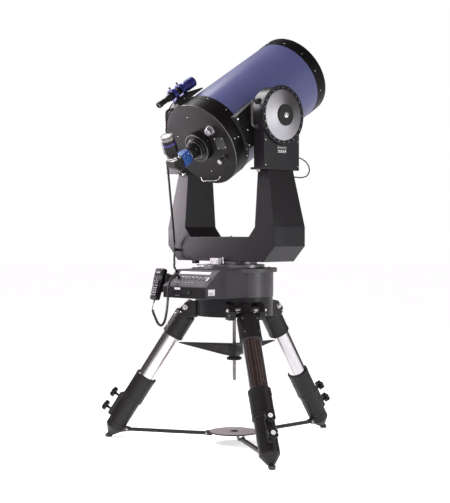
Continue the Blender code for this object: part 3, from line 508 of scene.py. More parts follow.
# The edge colours given below lighten sharp edges: partly wear, partly a painted edge highlight.
M["casting"] = paint("casting_black", BLACK, 0.33, peel=900, depth=0.00006, edge_wear_and_highlight=((0.05, 0.045, 0.05), 0.30), spec=0.24, rough_var=0.03)
M["drum"] = paint("drum_black", (0.0300, 0.0265, 0.0305), 0.36, spec=0.55, peel=900, depth=0.00006, edge_wear_and_highlight=((0.15, 0.145, 0.15), 0.4))
M["cell"] = paint("cell_black", (0.0045, 0.0039, 0.0042), 0.44, spec=0.13, peel=1300, depth=0.00006, edge_wear_and_highlight=((0.10, 0.09, 0.09), 0.25))
M["satin"] = paint("satin_black", (0.0075, 0.0070, 0.0075), 0.36, spec=0.26, peel=1500, depth=0.00004, edge_wear_and_highlight=((0.10, 0.10, 0.10), 0.5))
M["leg"] = paint("leg_powder_black", (0.0095, 0.0086, 0.0092), 0.42, spec=0.30, peel=800, depth=0.00010, strength=0.5, edge_wear_and_highlight=((0.14, 0.13, 0.12), 0.5))
M["handle"] = paint("handle_grey", (0.030, 0.027, 0.030), 0.28, spec=0.60, rough_var=0.03)
M["blue"] = paint("tube_blue_enamel", (0.056, 0.062, 0.152), 0.40, spec=0.45, var=0.05, peel=1400, depth=0.00003, speck=((0.30, 0.32, 0.62), 0.35), coat=0.08, rough_var=0.04)
M["console"] = moulded("console_texture", (0.0300, 0.0268, 0.0320), 0.50, spec=0.26)
M["console_dark"] = moulded("console_front", (0.0050, 0.0042, 0.0050), 0.50, spec=0.16)
M["plastic"] = moulded("moulded_black", (0.0055, 0.0052, 0.0058), 0.45, spec=0.20)
M["gloss"] = moulded("gloss_black", (0.010, 0.010, 0.011), 0.16, grain=400, strength=0.05, depth=0.00002, spec=0.5)
M["rubber"] = moulded("key_rubber", (0.050, 0.050, 0.053), 0.62, grain=2200, strength=0.35)
M["cord"] = moulded("cord_jacket", (0.017, 0.0165, 0.018), 0.38, grain=1800, strength=0.25)
M["chrome"] = chrome("chrome_plate")
M["steel"] = brushed("ground_steel", (0.42, 0.41, 0.41), 0.28)
M["alu"] = brushed("brushed_aluminium", (0.42, 0.41, 0.42), 0.30, (60, 900, 900))
M["silver"] = chrome("bright_screw", (0.86, 0.85, 0.84), 0.14)
# Lighter brushed metal: real bare metal on the eyepiece top and panel sockets; on the rear chamfer and focuser edges
# its light colour is a painted highlight.
M["rim"] = brushed("bare_edge_metal_and_painted_highlight", (0.22, 0.21, 0.21), 0.40, (200, 200, 200))
M["royal"] = paint("anodised_royal_blue", (0.014, 0.018, 0.130), 0.30, var=0.10, peel=1900, depth=0.00002, metal=0.35, spec=0.55)
M["azure"] = paint("motor_azure", (0.006, 0.050, 0.215), 0.34, var=0.10, peel=1900, depth=0.00003, metal=0.2, spec=0.32)
M["violet"] = paint("band_violet", (0.040, 0.026, 0.150), 0.30, var=0.10, peel=1900, depth=0.00002, metal=0.2)
M["white"] = paint("engraving_white", (0.72, 0.72, 0.73), 0.5, var=0.05, peel=1900, depth=0.00002)
M["label"] = paint("blank_label", (0.60, 0.58, 0.61), 0.38, var=0.06, peel=2200, depth=0.00001)
M["inner"] = paint("flat_black", (0.008, 0.008, 0.008), 0.75, var=0.2, peel=600, depth=0.0001)
M["amber"] = paint("amber_mark", (0.30, 0.10, 0.03), 0.35, var=0.1)


def striped(name, base, axis_vec, pitch, depth, rough=0.4, edge_wear_and_highlight=None):
    """Satin black with fine turned ridges along an axis; the colour is darker in the grooves and lighter on the crests,
    a painted shade.
    """
    n = Nodes(name)
    along = n.vec("DOT_PRODUCT", n.coord, tuple(axis_vec))
    wave = n.m("SINE", n.m("MULTIPLY", along, 2 * math.pi / pitch))
    colour = n.mix(n.remap(wave, -1, 1, 0, 1), shade(base, 0.8), shade(base, 1.3))
    r = n.remap(n.noise(30, 4.0), 0.3, 0.7, rough - 0.05, rough + 0.06)
    return n.done(colour, r, n.bump(wave, 0.6, depth), 0.0)


M["ridged"] = striped("ridged_black", (0.024, 0.023, 0.022), tuple(D), 0.0032, 0.0004, 0.42)

n = Nodes("threaded_steel")
zz = n.vec("DOT_PRODUCT", n.coord, (0, 0, 1))
r_, t_ = n.radial((0, 0, 0), (0, 0, 1))
thread = n.m("SINE", n.m("ADD", n.m("MULTIPLY", zz, 2 * math.pi / 0.00175), t_))
# Colour follows the thread: dark in the roots, bright on the crests, which is painted shade in the grooves.
groove_shaded_tint = n.mix(n.remap(thread, -1, 1, 0, 1), (0.20, 0.19, 0.19), (0.62, 0.61, 0.61))
M["thread"] = n.done(groove_shaded_tint, n.remap(n.noise(40, 3.0), 0.3, 0.7, 0.22, 0.36), n.bump(thread, 0.8, 0.0006), 1.0)



def spun_dial(name, side):
    """Lathe-turned aluminium cone: fine rings, with highlights that fan out from the axis."""
    n = Nodes(name)
    r, t = n.radial(O, X * side)
    rings = n.noise(750, 3.0, 0.7, w=r)
    colour = n.mix(n.remap(rings, 0.25, 0.75, 0, 1), (0.27, 0.265, 0.285), (0.36, 0.355, 0.375))
    tangent = n.nt.nodes.new("ShaderNodeTangent")
    tangent.direction_type = "RADIAL"
    tangent.axis = "X"
    n.link(tangent.outputs[0], n.bsdf.inputs["Tangent"])
    rough = n.m("ADD", n.remap(rings, 0.2, 0.8, 0.38, 0.48), n.remap(n.noise(9, 3.0), 0.3, 0.7, -0.02, 0.03))
    return n.done(colour, rough, n.bump(rings, 0.3, 0.00004), 1.0, aniso=0.75)


M["dial"] = spun_dial("spun_aluminium", 1)
M["dial_l"] = spun_dial("spun_aluminium_left", -1)
M["flange"] = spun("flange_grey", (0.060, 0.056, 0.062), (0, 0, 0), Z, 0.36, 0.35, lines=300)
M["turntable"] = spun("turntable_steel", (0.16, 0.155, 0.165), (0, 0, 0), Z, 0.28, 0.9, lines=400)
M["tray"] = spun("tray_top", (0.72, 0.64, 0.66), (0, 0, 0), Z, 0.34, 0.75, lines=260, var=0.06)

# setting circle: black ring with white graduations
n = Nodes("graduated_ring")
r_, t_ = n.radial(O, X)


def marks(count, width, r0, r1, offset=0.0):
    f = n.m("FRACT", n.m("ADD", n.m("MULTIPLY", t_, count / (2 * math.pi)), 0.5 + offset))
    near = n.m("LESS_THAN", n.m("ABSOLUTE", n.m("SUBTRACT", f, 0.5)), width * count / (2 * math.pi))
    inside = n.m("MULTIPLY", n.m("GREATER_THAN", r_, r0), n.m("LESS_THAN", r_, r1))
    return n.m("MULTIPLY", near, inside)


ink = n.m("MAXIMUM", n.m("MULTIPLY", marks(180, 0.0022, 0.1512, 0.1530), 0.15), n.m("MULTIPLY", marks(36, 0.0035, 0.1490, 0.1530), 0.35))
base_c = n.mix(n.remap(n.noise(20, 4.0), 0.3, 0.7, 0, 1), (0.0045, 0.0045, 0.0050), (0.0075, 0.0070, 0.0080))
M["circle"] = n.done(n.mix(ink, base_c, (0.70, 0.70, 0.70)), n.remap(n.noise(50, 4.0), 0.3, 0.7, 0.34, 0.46), n.bump(n.noise(1500, 2.0), 0.3, 0.00003), 0.0, 0.14)

# corrector plate and primary mirror
n = Nodes("coated_glass")
n.bsdf.inputs["Transmission Weight"].default_value = 1.0
M["glass"] = n.done(n.mix(n.remap(n.noise(3, 2.0), 0.3, 0.7, 0, 1), (0.93, 0.96, 0.98), (0.97, 0.98, 1.0)), n.remap(n.noise(60, 4.0), 0.4, 0.8, 0.0, 0.03), None, 0.0, ior=1.5)
n = Nodes("mirror_coating")
M["mirror"] = n.done(n.mix(n.remap(n.noise(5, 2.0), 0.3, 0.7, 0, 1), (0.86, 0.87, 0.88), (0.92, 0.92, 0.93)), n.remap(n.noise(30, 4.0), 0.4, 0.8, 0.02, 0.05), None, 1.0)


# --------------------------------------------------------------------------- cords
def smooth_route(knots, step):
    """Points about step apart on a centripetal Catmull-Rom curve through the knots, as in the CAD."""
    pts = [Vector(k) for k in knots]
    pts = [pts[0] * 2 - pts[1]] + pts + [pts[-1] * 2 - pts[-2]]
    fine = []
    for i in range(1, len(pts) - 2):
        p0, p1, p2, p3 = pts[i - 1 : i + 3]
        t0 = 0.0
        t1 = t0 + (p1 - p0).length ** 0.5
        t2 = t1 + (p2 - p1).length ** 0.5
        t3 = t2 + (p3 - p2).length ** 0.5
        for k in range(40):
            t = t1 + (t2 - t1) * k / 40
            a1 = p0 * ((t1 - t) / (t1 - t0)) + p1 * ((t - t0) / (t1 - t0))
            a2 = p1 * ((t2 - t) / (t2 - t1)) + p2 * ((t - t1) / (t2 - t1))
            a3 = p2 * ((t3 - t) / (t3 - t2)) + p3 * ((t - t2) / (t3 - t2))
            b1 = a1 * ((t2 - t) / (t2 - t0)) + a2 * ((t - t0) / (t2 - t0))
            b2 = a2 * ((t3 - t) / (t3 - t1)) + a3 * ((t - t1) / (t3 - t1))
            fine.append(b1 * ((t2 - t) / (t2 - t1)) + b2 * ((t - t1) / (t2 - t1)))
    fine.append(pts[-2])
    along = [0.0]
    for one, two in zip(fine, fine[1:]):
        along.append(along[-1] + (two - one).length)
    count = max(2, round(along[-1] / step))
    out, j = [], 0
    for i in range(count + 1):
        want = along[-1] * i / count
        while j < len(along) - 2 and along[j + 1] < want:
            j += 1
        f = (want - along[j]) / max(along[j + 1] - along[j], 1e-12)
        out.append(fine[j].lerp(fine[j + 1], min(max(f, 0.0), 1.0)))
    return out


def coiled(route, outer, wire, pitch, lead_in, lead_out, per_turn=14):
    """A wire wound round a route: straight for lead_in, then turns of that pitch, then straight for lead_out."""
    pts = [Vector(p) for p in route]
    along = [0.0]
    for a, b in zip(pts, pts[1:]):
        along.append(along[-1] + (b - a).length)
    total = along[-1]
    frames, u, last = [], None, None
    for i, p in enumerate(pts):
        t = (pts[min(i + 1, len(pts) - 1)] - pts[max(i - 1, 0)]).normalized()
        u = t.orthogonal().normalized() if u is None else last.rotation_difference(t) @ u
        u = (u - t * u.dot(t)).normalized()
        last = t
        frames.append((t, u))

    def at(s):
        j = 0
        lo, hi = 0, len(along) - 2
        while lo < hi:
            mid = (lo + hi + 1) // 2
            if along[mid] <= s:
                lo = mid
            else:
                hi = mid - 1
        j = lo
        f = (s - along[j]) / max(along[j + 1] - along[j], 1e-12)
        t = frames[j][0].lerp(frames[j + 1][0], f).normalized()
        uu = frames[j][1].lerp(frames[j + 1][1], f)
        uu = (uu - t * uu.dot(t)).normalized()
        return pts[j].lerp(pts[j + 1], f), t, uu

    coil_r = outer - wire
    s0, s1 = lead_in, total - lead_out
    turns = (s1 - s0) / pitch
    out = [at(s0 * k / 4)[0] for k in range(4)] if lead_in > 0 else []
    count = round(turns * per_turn)
    for i in range(count + 1):
        s = s0 + (s1 - s0) * i / count
        p, t, uu = at(s)
        grow = min(1.0, (s - s0) / (pitch * 1.5) if lead_in > 0 else 1.0, (s1 - s) / (pitch * 1.5) if lead_out > 0 else 1.0)
        grow = grow * grow * (3 - 2 * grow)
        a = 2 * math.pi * turns * i / count
        out.append(p + (uu * math.cos(a) + t.cross(uu) * math.sin(a)) * (coil_r * grow))
    if lead_out > 0:
        out += [at(s1 + (total - s1) * k / 6)[0] for k in range(1, 7)]
    return out


def cord_piece(name, path, radius, body, node, mats="cord", seg=9, across=None, with_pieces=()):
    bm = bmesh.new()
    tube_mesh(bm, path, radius, seg)
    ob = piece(name, bm, M[mats], None, (), angle=60)
    if across:
        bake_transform(ob)
    else:
        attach(ob, body)
    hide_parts(node)
    return ob


CON_ZF, CON_ZT, CON_Y0, CON_Y1 = 0.868, 0.953, -0.367, -0.267
desk_top = lambda y: CON_ZT if y >= CON_Y1 else CON_ZF + (CON_ZT - CON_ZF) * (y - CON_Y0) / (CON_Y1 - CON_Y0)
n_panel = Vector((0, -(CON_ZT - CON_ZF), CON_Y1 - CON_Y0)).normalized()
s_panel = Vector((0, CON_Y1 - CON_Y0, CON_ZT - CON_ZF)).normalized()
HS_TOP = Vector((-0.222, -0.330, 0.955))
HS_DOWN = Vector((0, -0.052, -0.165)).normalized()
HS_OUT = X.cross(HS_DOWN).normalized()
if HS_OUT.y > 0:
    HS_OUT = -HS_OUT
hs = lambda u, v, h: HS_TOP + X * u + HS_DOWN * v + HS_OUT * h
HC_START = Vector((-0.094, -0.318, desk_top(-0.318) + 0.0004))
HC_END = hs(0, 0.173, -0.001)
route = smooth_route(
    [
        HC_START + n_panel * 0.0012,
        HC_START + n_panel * 0.022,
        Vector((-0.094, -0.3640, 0.9130)),
        Vector((-0.097, -0.3830, 0.885)),
        Vector((-0.102, -0.388, 0.850)),
        Vector((-0.107, -0.388, 0.790)),
        Vector((-0.118, -0.388, 0.722)),
        Vector((-0.136, -0.388, 0.674)),
        Vector((-0.160, -0.388, 0.656)),
        Vector((-0.186, -0.388, 0.666)),
        Vector((-0.207, -0.388, 0.694)),
        Vector((-0.224, -0.388, 0.722)),
        Vector((-0.231, -0.388, 0.745)),
        Vector((-0.226, -0.387, 0.766)),
        HC_END + HS_DOWN * 0.012,
        HC_END + HS_DOWN * 0.0006,
    ],
    0.006,
)
handset_cord = cord_piece("handset_coiled_cord", coiled(route, 0.0072, 0.0018, 0.0043, 0.014, 0.052), 0.0018, "base", "handset_cord")

CLIP = Vector((-0.333, -0.140, 1.055))
FC_END = Vector((-0.146, -0.285, desk_top(-0.285) + 0.0004))
route = smooth_route(
    [
        CLIP + Vector((0, 0, -0.0130)),
        CLIP + Vector((0, -0.001, -0.030)),
        Vector((-0.290, -0.180, 1.0060)),
        Vector((-0.230, -0.232, 0.9800)),
        Vector((-0.178, -0.280, 0.9690)),
        FC_END + n_panel * 0.022,
        FC_END + n_panel * 0.0012,
    ],
    0.006,
)
route = route[::-1]
cord_piece("focuser_cord_to_panel", coiled(route, 0.0062, 0.0015, 0.0036, 0.016, 0.008), 0.0015, None, "focuser_cord_lower", across=("fork", "base", Vector((0, 0, 0.999)), Vector((0, 0, 0.960))))
FC_START = ota(-0.0345, -0.004, -0.437)
FC_TURN = ota(-0.1150, 0.002, -0.4490)
FC_DOWN = CLIP + Vector((0.0, -0.002, 0.060))
route = smooth_route(
    [
        FC_START,
        FC_START - X * 0.020,
        ota(-0.088, 0.012, -0.4430),
        ota(-0.106, 0.013, -0.4470),
        FC_TURN,
        FC_TURN.lerp(FC_DOWN, 0.15),
        FC_TURN.lerp(FC_DOWN, 0.50),
        FC_TURN.lerp(FC_DOWN, 0.85),
        CLIP + Vector((0.0, -0.001, 0.0330)),
        CLIP + Vector((0.0, 0.0, 0.0134)),
    ],
    0.006,
)
cord_piece("focuser_cord_to_fork", coiled(route, 0.0062, 0.0015, 0.0036, 0.024, 0.008), 0.0015, None, "focuser_cord_upper", across=("fork", "telescope_tube", Vector((0, -0.20, 1.14)), Vector((0, -0.40, 1.50))))
taper_y = lambda z: 0.1166 + (0.0933 - 0.1166) * (z - 1.1785) / (1.477 - 1.1785)
route = smooth_route(
    [
        Vector((0.318, 0.133 + 0.0008, 1.552)),
        Vector((0.318, 0.160, 1.551)),
        Vector((0.318, 0.205, 1.540)),
        Vector((0.318, 0.243, 1.516)),
        Vector((0.318, 0.256, 1.485)),
        Vector((0.318, 0.238, 1.457)),
        Vector((0.318, 0.195, 1.445)),
        Vector((0.318, 0.140, 1.445)),
        Vector((0.318, taper_y(1.446) + 0.0008, 1.446)),
    ],
    0.010,
)
cord_piece("motor_cable", route, 0.0035, "fork", "altitude_motor_cable", seg=16)

# ------------------------------------------------------------------- tripod head, base
plain = lambda x, y, z: Vector((x, y, z))
bm = bmesh.new()
turned(bm, (0, 0, 0), Z, [(0.030, 0.7000), (0.030, 0.7830, 0.004), (0.194, 0.7830, 0.006), (0.194, 0.7000, 0.0015), (0.2100, 0.7000, 0.003), (0.2100, 0.8047, 0.0012), (0.2060, 0.8047)], 128)
for azimuth in LEGS.values():
    radial, tangent = leg_frame(azimuth)
    for side in (-1, 1):
        plate(bm, [(0.188, 0.690), (0.264, 0.690), (0.283, 0.709), (0.286, 0.736), (0.247, 0.774), (0.188, 0.784)], lambda p, q, h: radial * p + Z * q + tangent * h, (side * 0.0625, side * 0.0980), 0.0035, 1, 3)
        turned(bm, radial * 0.250 + Z * 0.745 + tangent * (side * 0.0625), tangent * -side, [(0.017, 0), (0.017, 0.024, 0.001), (0.013, 0.0262)], 28, mat=2)
piece("tripod_head_casting", bm, [M["casting"], M["leg"], M["alu"]], "base", ["tripod_head"])
bm = bmesh.new()
for azimuth in LEGS.values():
    radial, tangent = leg_frame(azimuth)
    for side in (-1, 1):
        c = radial * 0.250 + Z * 0.745
        turned(bm, c + tangent * (side * 0.0975), tangent * side, [(0.0150, 0), (0.0150, 0.0025, 0.0006), (0.0100, 0.0026)], 32)
        screw(bm, c + tangent * (side * 0.0995), tangent * side, 0.0110, 0.0095, "hex")
        turned(bm, c + tangent * (side * 0.0605), tangent * -side, [(0.0125, 0), (0.0125, 0.0100, 0.0010), (0.0095, 0.0140, 0.002), (0.0060, 0.0150)], 32)
        screw(bm, radial * 0.2745 + Z * 0.7200 + tangent * (side * 0.0978), tangent * side, 0.0048, 0.0040, "dome")
piece("head_bolts", bm, M["chrome"], "base", ())

bm = bmesh.new()
turned(bm, (0, 0, 0), Z, [(0.1980, 0.8050), (0.2127, 0.8050, 0.0012), (0.2127, 0.9368, 0.0012), (0.2090, 0.9370)], 160)
piece("drive_drum", bm, M["drum"], "base", ["drive_base"])
bm = bmesh.new()
turned(bm, (0, 0, 0), Z, [(0.2050, 0.9372), (0.2330, 0.9372, 0.0014), (0.2330, 0.9590, 0.0020), (0.1680, 0.9590, 0.001), (0.1680, 0.9585)], 160)
piece("drive_flange", bm, M["flange"], "base", ())
bm = bmesh.new()
for k in range(12):
    t = math.radians(15 + 30 * k)
    screw(bm, Vector((0.2195 * math.cos(t), 0.2195 * math.sin(t), 0.9590)), Z, 0.0040, 0.0030, "socket")
for k in range(8):
    t = math.radians(10 + 45 * k)
    d = Vector((math.cos(t), math.sin(t), 0))
    screw(bm, d * 0.2124 + Z * 0.8150, d, 0.0030, 0.0016, "dome")
piece("flange_screws", bm, M["plastic"], "base", ())

# console
CON_X = 0.168
con = bmesh.new()
plan = [(-CON_X, CON_Y0), (CON_X, CON_Y0), (CON_X, CON_Y1), (0.194, -0.243), (0.194, -0.088), (-0.194, -0.088), (-0.194, -0.243), (-CON_X, CON_Y1)]
low = [con.verts.new((x, y, 0.8055)) for x, y in plan]
top = [con.verts.new((x, y, desk_top(y))) for x, y in plan]
for i in range(8):
    con.faces.new((low[i], low[(i + 1) % 8], top[(i + 1) % 8], top[i]))
con.faces.new(low[::-1])
con.faces.new((top[0], top[1], top[2], top[7]))
con.faces.new((top[2], top[3], top[4], top[5], top[6], top[7]))
bmesh.ops.recalc_face_normals(con, faces=con.faces)
soften(con, 0.0022, 3, 14)
cut = bmesh.new()
turned(cut, (0, 0, 0), Z, [(0.2136, 0.70), (0.2136, 0.9367), (0.2342, 0.9367), (0.2342, 1.0)], 160)
con = subtract(con, cut)
piece("console_case", con, M["console"], "base", ["control_console"])

pan = lambda x, s, h: Vector((x, CON_Y0, CON_ZF)) + s_panel * s + n_panel * h      # s runs up the slope
front = lambda x, z, h: Vector((x, CON_Y0 - h, z))
bm = bmesh.new()
block(bm, pan, (-0.158, 0.006, 0.0), (0.158, 0.126, 0.0012), 0.0006, 0)            # panel plate
block(bm, front, (-0.160, 0.810, 0.0), (0.160, 0.8640, 0.0014), 0.0007, 2)         # front plate
for z0 in (0.8335, 0.8425):                                                       # card slots
    block(bm, front, (-0.112, z0, 0.0010), (0.020, z0 + 0.0026, 0.0032), 0.0006, 1)
block(bm, front, (0.030, 0.8300, 0.0012), (0.050, 0.8500, 0.0050), 0.0012, 1)
for x0 in (-0.150, 0.150):
    for s0 in (0.012, 0.120):
        screw(bm, pan(x0, s0, 0.0011), n_panel, 0.0026, 0.0012, "dome", 1)
piece("console_panels", bm, [M["console"], M["gloss"], M["console_dark"]], "base", ())
bm = bmesh.new()
block(bm, pan, (-0.118, 0.096, 0.0011), (0.118, 0.114, 0.0017), 0.0003, 0)         # blank strip
block(bm, front, (-0.075, 0.8500, 0.0013), (-0.030, 0.8615, 0.0019), 0.0003, 0)
block(bm, front, (-0.070, 0.8165, 0.0013), (-0.036, 0.8235, 0.0019), 0.0003, 1)
# sticker on the splayed side
sy = lambda y, z, h: Vector((CON_X + h, y, z))
block(bm, sy, (-0.352, 0.8240, 0.0), (-0.306, 0.8560, 0.0006), 0.0003, 0)
for k in range(3):
    block(bm, sy, (-0.347, 0.8275 + 0.0050 * k, 0.0005), (-0.312 - 0.004 * k, 0.8293 + 0.0050 * k, 0.0009), 0.0002, 1)
piece("console_blank_labels", bm, [M["label"], M["rubber"]], "base", ())
# sockets on the panel
bm = bmesh.new()
jacks = [(-0.128, 0.0640, 0.0070), (-0.146, 0.1065, 0.0066), (-0.098, 0.058, 0.0052), (-0.072, 0.058, 0.0052), (-0.046, 0.058, 0.0052), (-0.020, 0.058, 0.0052), (0.010, 0.058, 0.0056), (0.040, 0.058, 0.0056), (0.072, 0.056, 0.0075), (0.108, 0.056, 0.0075)]
for x0, s0, r0 in jacks:
    turned(bm, pan(x0, s0, 0.0010), n_panel, [(r0, 0), (r0, 0.0032, 0.0006), (r0 * 0.62, 0.0034)], 28, mat=0)
    turned(bm, pan(x0, s0, 0.0010), n_panel, [(r0 * 0.60, 0.0020), (r0 * 0.58, 0.0036), (r0 * 0.30, 0.0036), (r0 * 0.28, 0.0022)], 24, mat=1)
for x0, s0, _ in jacks[2:]:
    for k in (-1, 1):
        block(bm, pan, (x0 + k * 0.0040 - 0.0028, s0 + 0.0125, 0.0011), (x0 + k * 0.0040 + 0.0022, s0 + 0.0143, 0.0015), 0.0002, 2)
    block(bm, pan, (x0 - 0.0070, s0 + 0.0165, 0.0011), (x0 + 0.0070, s0 + 0.0175, 0.0015), 0.0002, 2)
for k in range(6):
    block(bm, pan, (-0.100 + 0.026 * k, 0.0300, 0.0011), (-0.088 + 0.026 * k, 0.0313, 0.0015), 0.0002, 2)
block(bm, pan, (0.126, 0.044, 0.0010), (0.146, 0.070, 0.0060), 0.0016, 1)
piece("console_sockets", bm, [M["console_dark"], M["rim"], M["white"]], "base", ())
# the two plugs in the panel
bm = bmesh.new()
for at in (HC_START, FC_END):
    turned(bm, at - n_panel * 0.0004, n_panel, [(0.0082, 0), (0.0082, 0.0100, 0.0012), (0.0058, 0.0125, 0.001), (0.0034, 0.0200, 0.001), (0.0026, 0.0205)], 28, shape=knurl(10, 0.06))
piece("panel_plugs", bm, M["plastic"], "base", ())

# azimuth lock and clamp hardware on the flange
LOCK = Vector((0.000, -0.205, 0.959))
bm = bmesh.new()
turned(bm, LOCK, Z, [(0.0110, 0.0003), (0.0110, 0.0120, 0.0010), (0.0078, 0.0122, 0.0006), (0.0078, 0.0238, 0.0012), (0.0050, 0.0242)], 32)
plate(bm, [(-0.075, -0.0058), (-0.070, -0.0080), (0.006, -0.0066), (0.0085, 0.000), (0.006, 0.0066), (-0.070, 0.0040)], lambda p, q, h: LOCK + Vector((p, q, h)), (0.0155, 0.0232), 0.0016, segs=3)
turned(bm, LOCK + Vector((-0.066, -0.002, 0.0185)), Vector((-1, 0, 0)), [(0.0050, -0.004), (0.0052, 0.006, 0.001), (0.0046, 0.0085, 0.001), (0.0028, 0.0090)], 20)
piece("azimuth_lever", bm, M["alu"], "azimuth_lock", ["azimuth_lock_lever"])

bm = bmesh.new()
turned(bm, (0, 0, 0), Z, [(0.0080, 0.3461), (0.0093, 0.3475), (0.0093, 0.6997)], 32)
piece("centre_rod", bm, M["thread"], "base", ["spreader_rod"])

# ------------------------------------------------------------------------- handset
bm = bmesh.new()
half = [(0.0, 0.0315), (0.006, 0.0355), (0.030, 0.0360), (0.058, 0.0360), (0.080, 0.0333), (0.100, 0.0308), (0.135, 0.0292), (0.166, 0.0281), (0.1730, 0.0240)]
outline = [(w, v) for v, w in half] + [(-w, v) for v, w in reversed(half)]
part = bmesh.new()
skin(part, [[hs(x * k, 0.0865 + (v - 0.0865) * kv, h) for x, v in outline] for k, kv, h in ((0.90, 0.975, -0.0150), (0.985, 0.995, -0.0125), (1.0, 1.0, -0.008), (1.0, 1.0, 0.0070), (0.985, 0.995, 0.0105), (0.92, 0.975, 0.0128))])
bmesh.ops.recalc_face_normals(part, faces=part.faces)
soften(part, 0.0014, 3, 30)
join(bm, part)
piece("handset_shell", bm, M["plastic"], "base", ["handset"])
bm = bmesh.new()
hp = lambda u, v, h: hs(u, v, h)
block(bm, hp, (-0.0285, 0.0095, 0.0122), (0.0285, 0.0400, 0.0146), 0.0010, 0)
block(bm, hp, (-0.0235, 0.0150, 0.0143), (0.0235, 0.0340, 0.0150), 0.0004, 1)
for k in (-1, 0, 1):
    block(bm, hp, (k * 0.0150 - 0.0050, 0.0440, 0.0124), (k * 0.0150 + 0.0050, 0.0510, 0.0148), 0.0009, 2)
for k in range(2):
    block(bm, hp, (-0.0180, 0.0200 + 0.0060 * k, 0.0148), (0.0160 - 0.005 * k, 0.0222 + 0.0060 * k, 0.01535), 0.0002, 3)
piece("handset_display", bm, [M["gloss"], M["gloss"], M["rubber"], M["label"]], "base", ())
bm = bmesh.new()
part = bmesh.new()
skin(part, [[hs(x * k, 0.110 + (v - 0.110) * k, h) for x, v in [(-0.0205, 0.060), (0.0205, 0.060), (0.0228, 0.066), (0.0228, 0.080), (0.0200, 0.090), (0.0190, 0.155), (0.0170, 0.158), (-0.0170, 0.158), (-0.0190, 0.155), (-0.0200, 0.090), (-0.0228, 0.080), (-0.0228, 0.066)]] for k, h in ((1.0, 0.01475), (1.0, 0.0153), (0.985, 0.0157))])
join(bm, part, None, 0)
c = hs(0, 0.0735, 0.0150)
for k in range(4):
    a = math.pi / 2 * k
    d = X * math.cos(a) + HS_DOWN * math.sin(a)
    e = X * -math.sin(a) + HS_DOWN * math.cos(a)
    plate(bm, [(0.0058, -0.0036), (0.0120, -0.0062), (0.0150, -0.0030), (0.0150, 0.0030), (0.0120, 0.0062), (0.0058, 0.0036)], lambda p, q, h: c + d * p + e * q + HS_OUT * h, (0.0004, 0.0030), 0.0007, 1)
    plate(bm, [(0.0130, 0.0), (0.0098, -0.0022), (0.0098, 0.0022)], lambda p, q, h: c + d * p + e * q + HS_OUT * h, (0.0030, 0.0033), 0.0001, 2)
turned(bm, c, HS_OUT, [(0.0046, 0.0004), (0.0046, 0.0030, 0.0008), (0.0020, 0.0033)], 24, mat=1)
for row in range(5):
    for col in range(3):
        u0, v0 = (col - 1) * 0.0122, 0.0975 + row * 0.0128
        block(bm, hp, (u0 - 0.0044, v0 - 0.0040, 0.0152), (u0 + 0.0044, v0 + 0.0040, 0.0176), 0.0010, 1)
        block(bm, hp, (u0 - 0.0016, v0 - 0.0020, 0.0175), (u0 + 0.0016, v0 + 0.0020, 0.0178), 0.0001, 2)
piece("handset_keys", bm, [M["plastic"], M["rubber"], M["white"]], "keypad_keys", ["keypad"])
bm = bmesh.new()
plate(bm, [(0.0200, -0.0153), (0.1250, -0.0153), (0.1250, -0.0193), (0.0200, -0.0193)], lambda p, q, h: HS_TOP + HS_DOWN * p + HS_OUT * q + X * h, (-0.036, 0.0535), 0.0008)
block(bm, plain, (-0.1735, -0.345, 0.880), (-0.1682, -0.2700, 0.925), 0.0008)
for y0 in (-0.328, -0.287):
    screw(bm, Vector((-0.1735, y0, 0.9025)), -X, 0.0042, 0.0024, "dome")
piece("handset_rest", bm, M["satin"], "base", ["handset_holder"])
bm = bmesh.new()
turned(bm, HC_END - HS_DOWN * 0.003, HS_DOWN, [(0.0056, 0.0), (0.0056, 0.0060, 0.001), (0.0040, 0.0090), (0.0030, 0.0220, 0.0005), (0.0020, 0.0225)], 24)
piece("handset_strain_relief", bm, M["rubber"], "base", ())

# ---------------------------------------------------------------------------- fork
bm = bmesh.new()
turned(bm, (0, 0, 0), Z, [(0.0300, 0.9400), (0.0300, 0.9593), (0.1650, 0.9593, 0.0010), (0.1650, 0.9780, 0.0015), (0.1250, 0.9790, 0.001), (0.1250, 0.9959), (0.10, 0.9959)], 128)
piece("turntable_ring", bm, M["turntable"], "fork", ["azimuth_turntable"])

half_y = lambda z: 0.1166 if z <= 1.1785 else 0.1166 + (0.0933 - 0.1166) * (z - 1.1785) / (1.477 - 1.1785)
bm = bmesh.new()
grid = {}


def fv(x, z, s):
    key = (round(x, 5), round(z, 5), s)
    if key not in grid:
        grid[key] = bm.verts.new((x, s * half_y(z), z))
    return grid[key]


ring = [(-0.3337, 0.9962), (0.3337, 0.9962), (0.4135, 1.0785), (0.4135, 1.1785), (0.3496, 1.4768), (0.2691, 1.4768), (0.2691, 1.1785), (0.2231, 1.1268), (-0.2231, 1.1268), (-0.2691, 1.1785), (-0.2691, 1.4768), (-0.3496, 1.4768), (-0.4135, 1.1785), (-0.4135, 1.0785)]
for i in range(len(ring)):
    a, b = ring[i], ring[(i + 1) % len(ring)]
    bm.faces.new((fv(*a, -1), fv(*b, -1), fv(*b, 1), fv(*a, 1)))
for s in (-1, 1):
    for loop in ([0, 1, 2, 3, 6, 7, 8, 9, 12, 13], [3, 4, 5, 6], [9, 10, 11, 12]):
        f = [fv(*ring[i], s) for i in loop]
        bm.faces.new(f if s < 0 else f[::-1])
bmesh.ops.recalc_face_normals(bm, faces=bm.faces)
soften(bm, 0.0030, 3, 8)
block(bm, plain, (CLIP.x - 0.007, -0.147, CLIP.z - 0.007), (CLIP.x + 0.007, -0.1150, CLIP.z + 0.007), 0.0020, segs=3)
for x0 in (-0.200, 0.150):
    block(bm, plain, (x0 - 0.016, -0.116, 0.9800), (x0 + 0.016, -0.088, 0.9975), 0.0020)
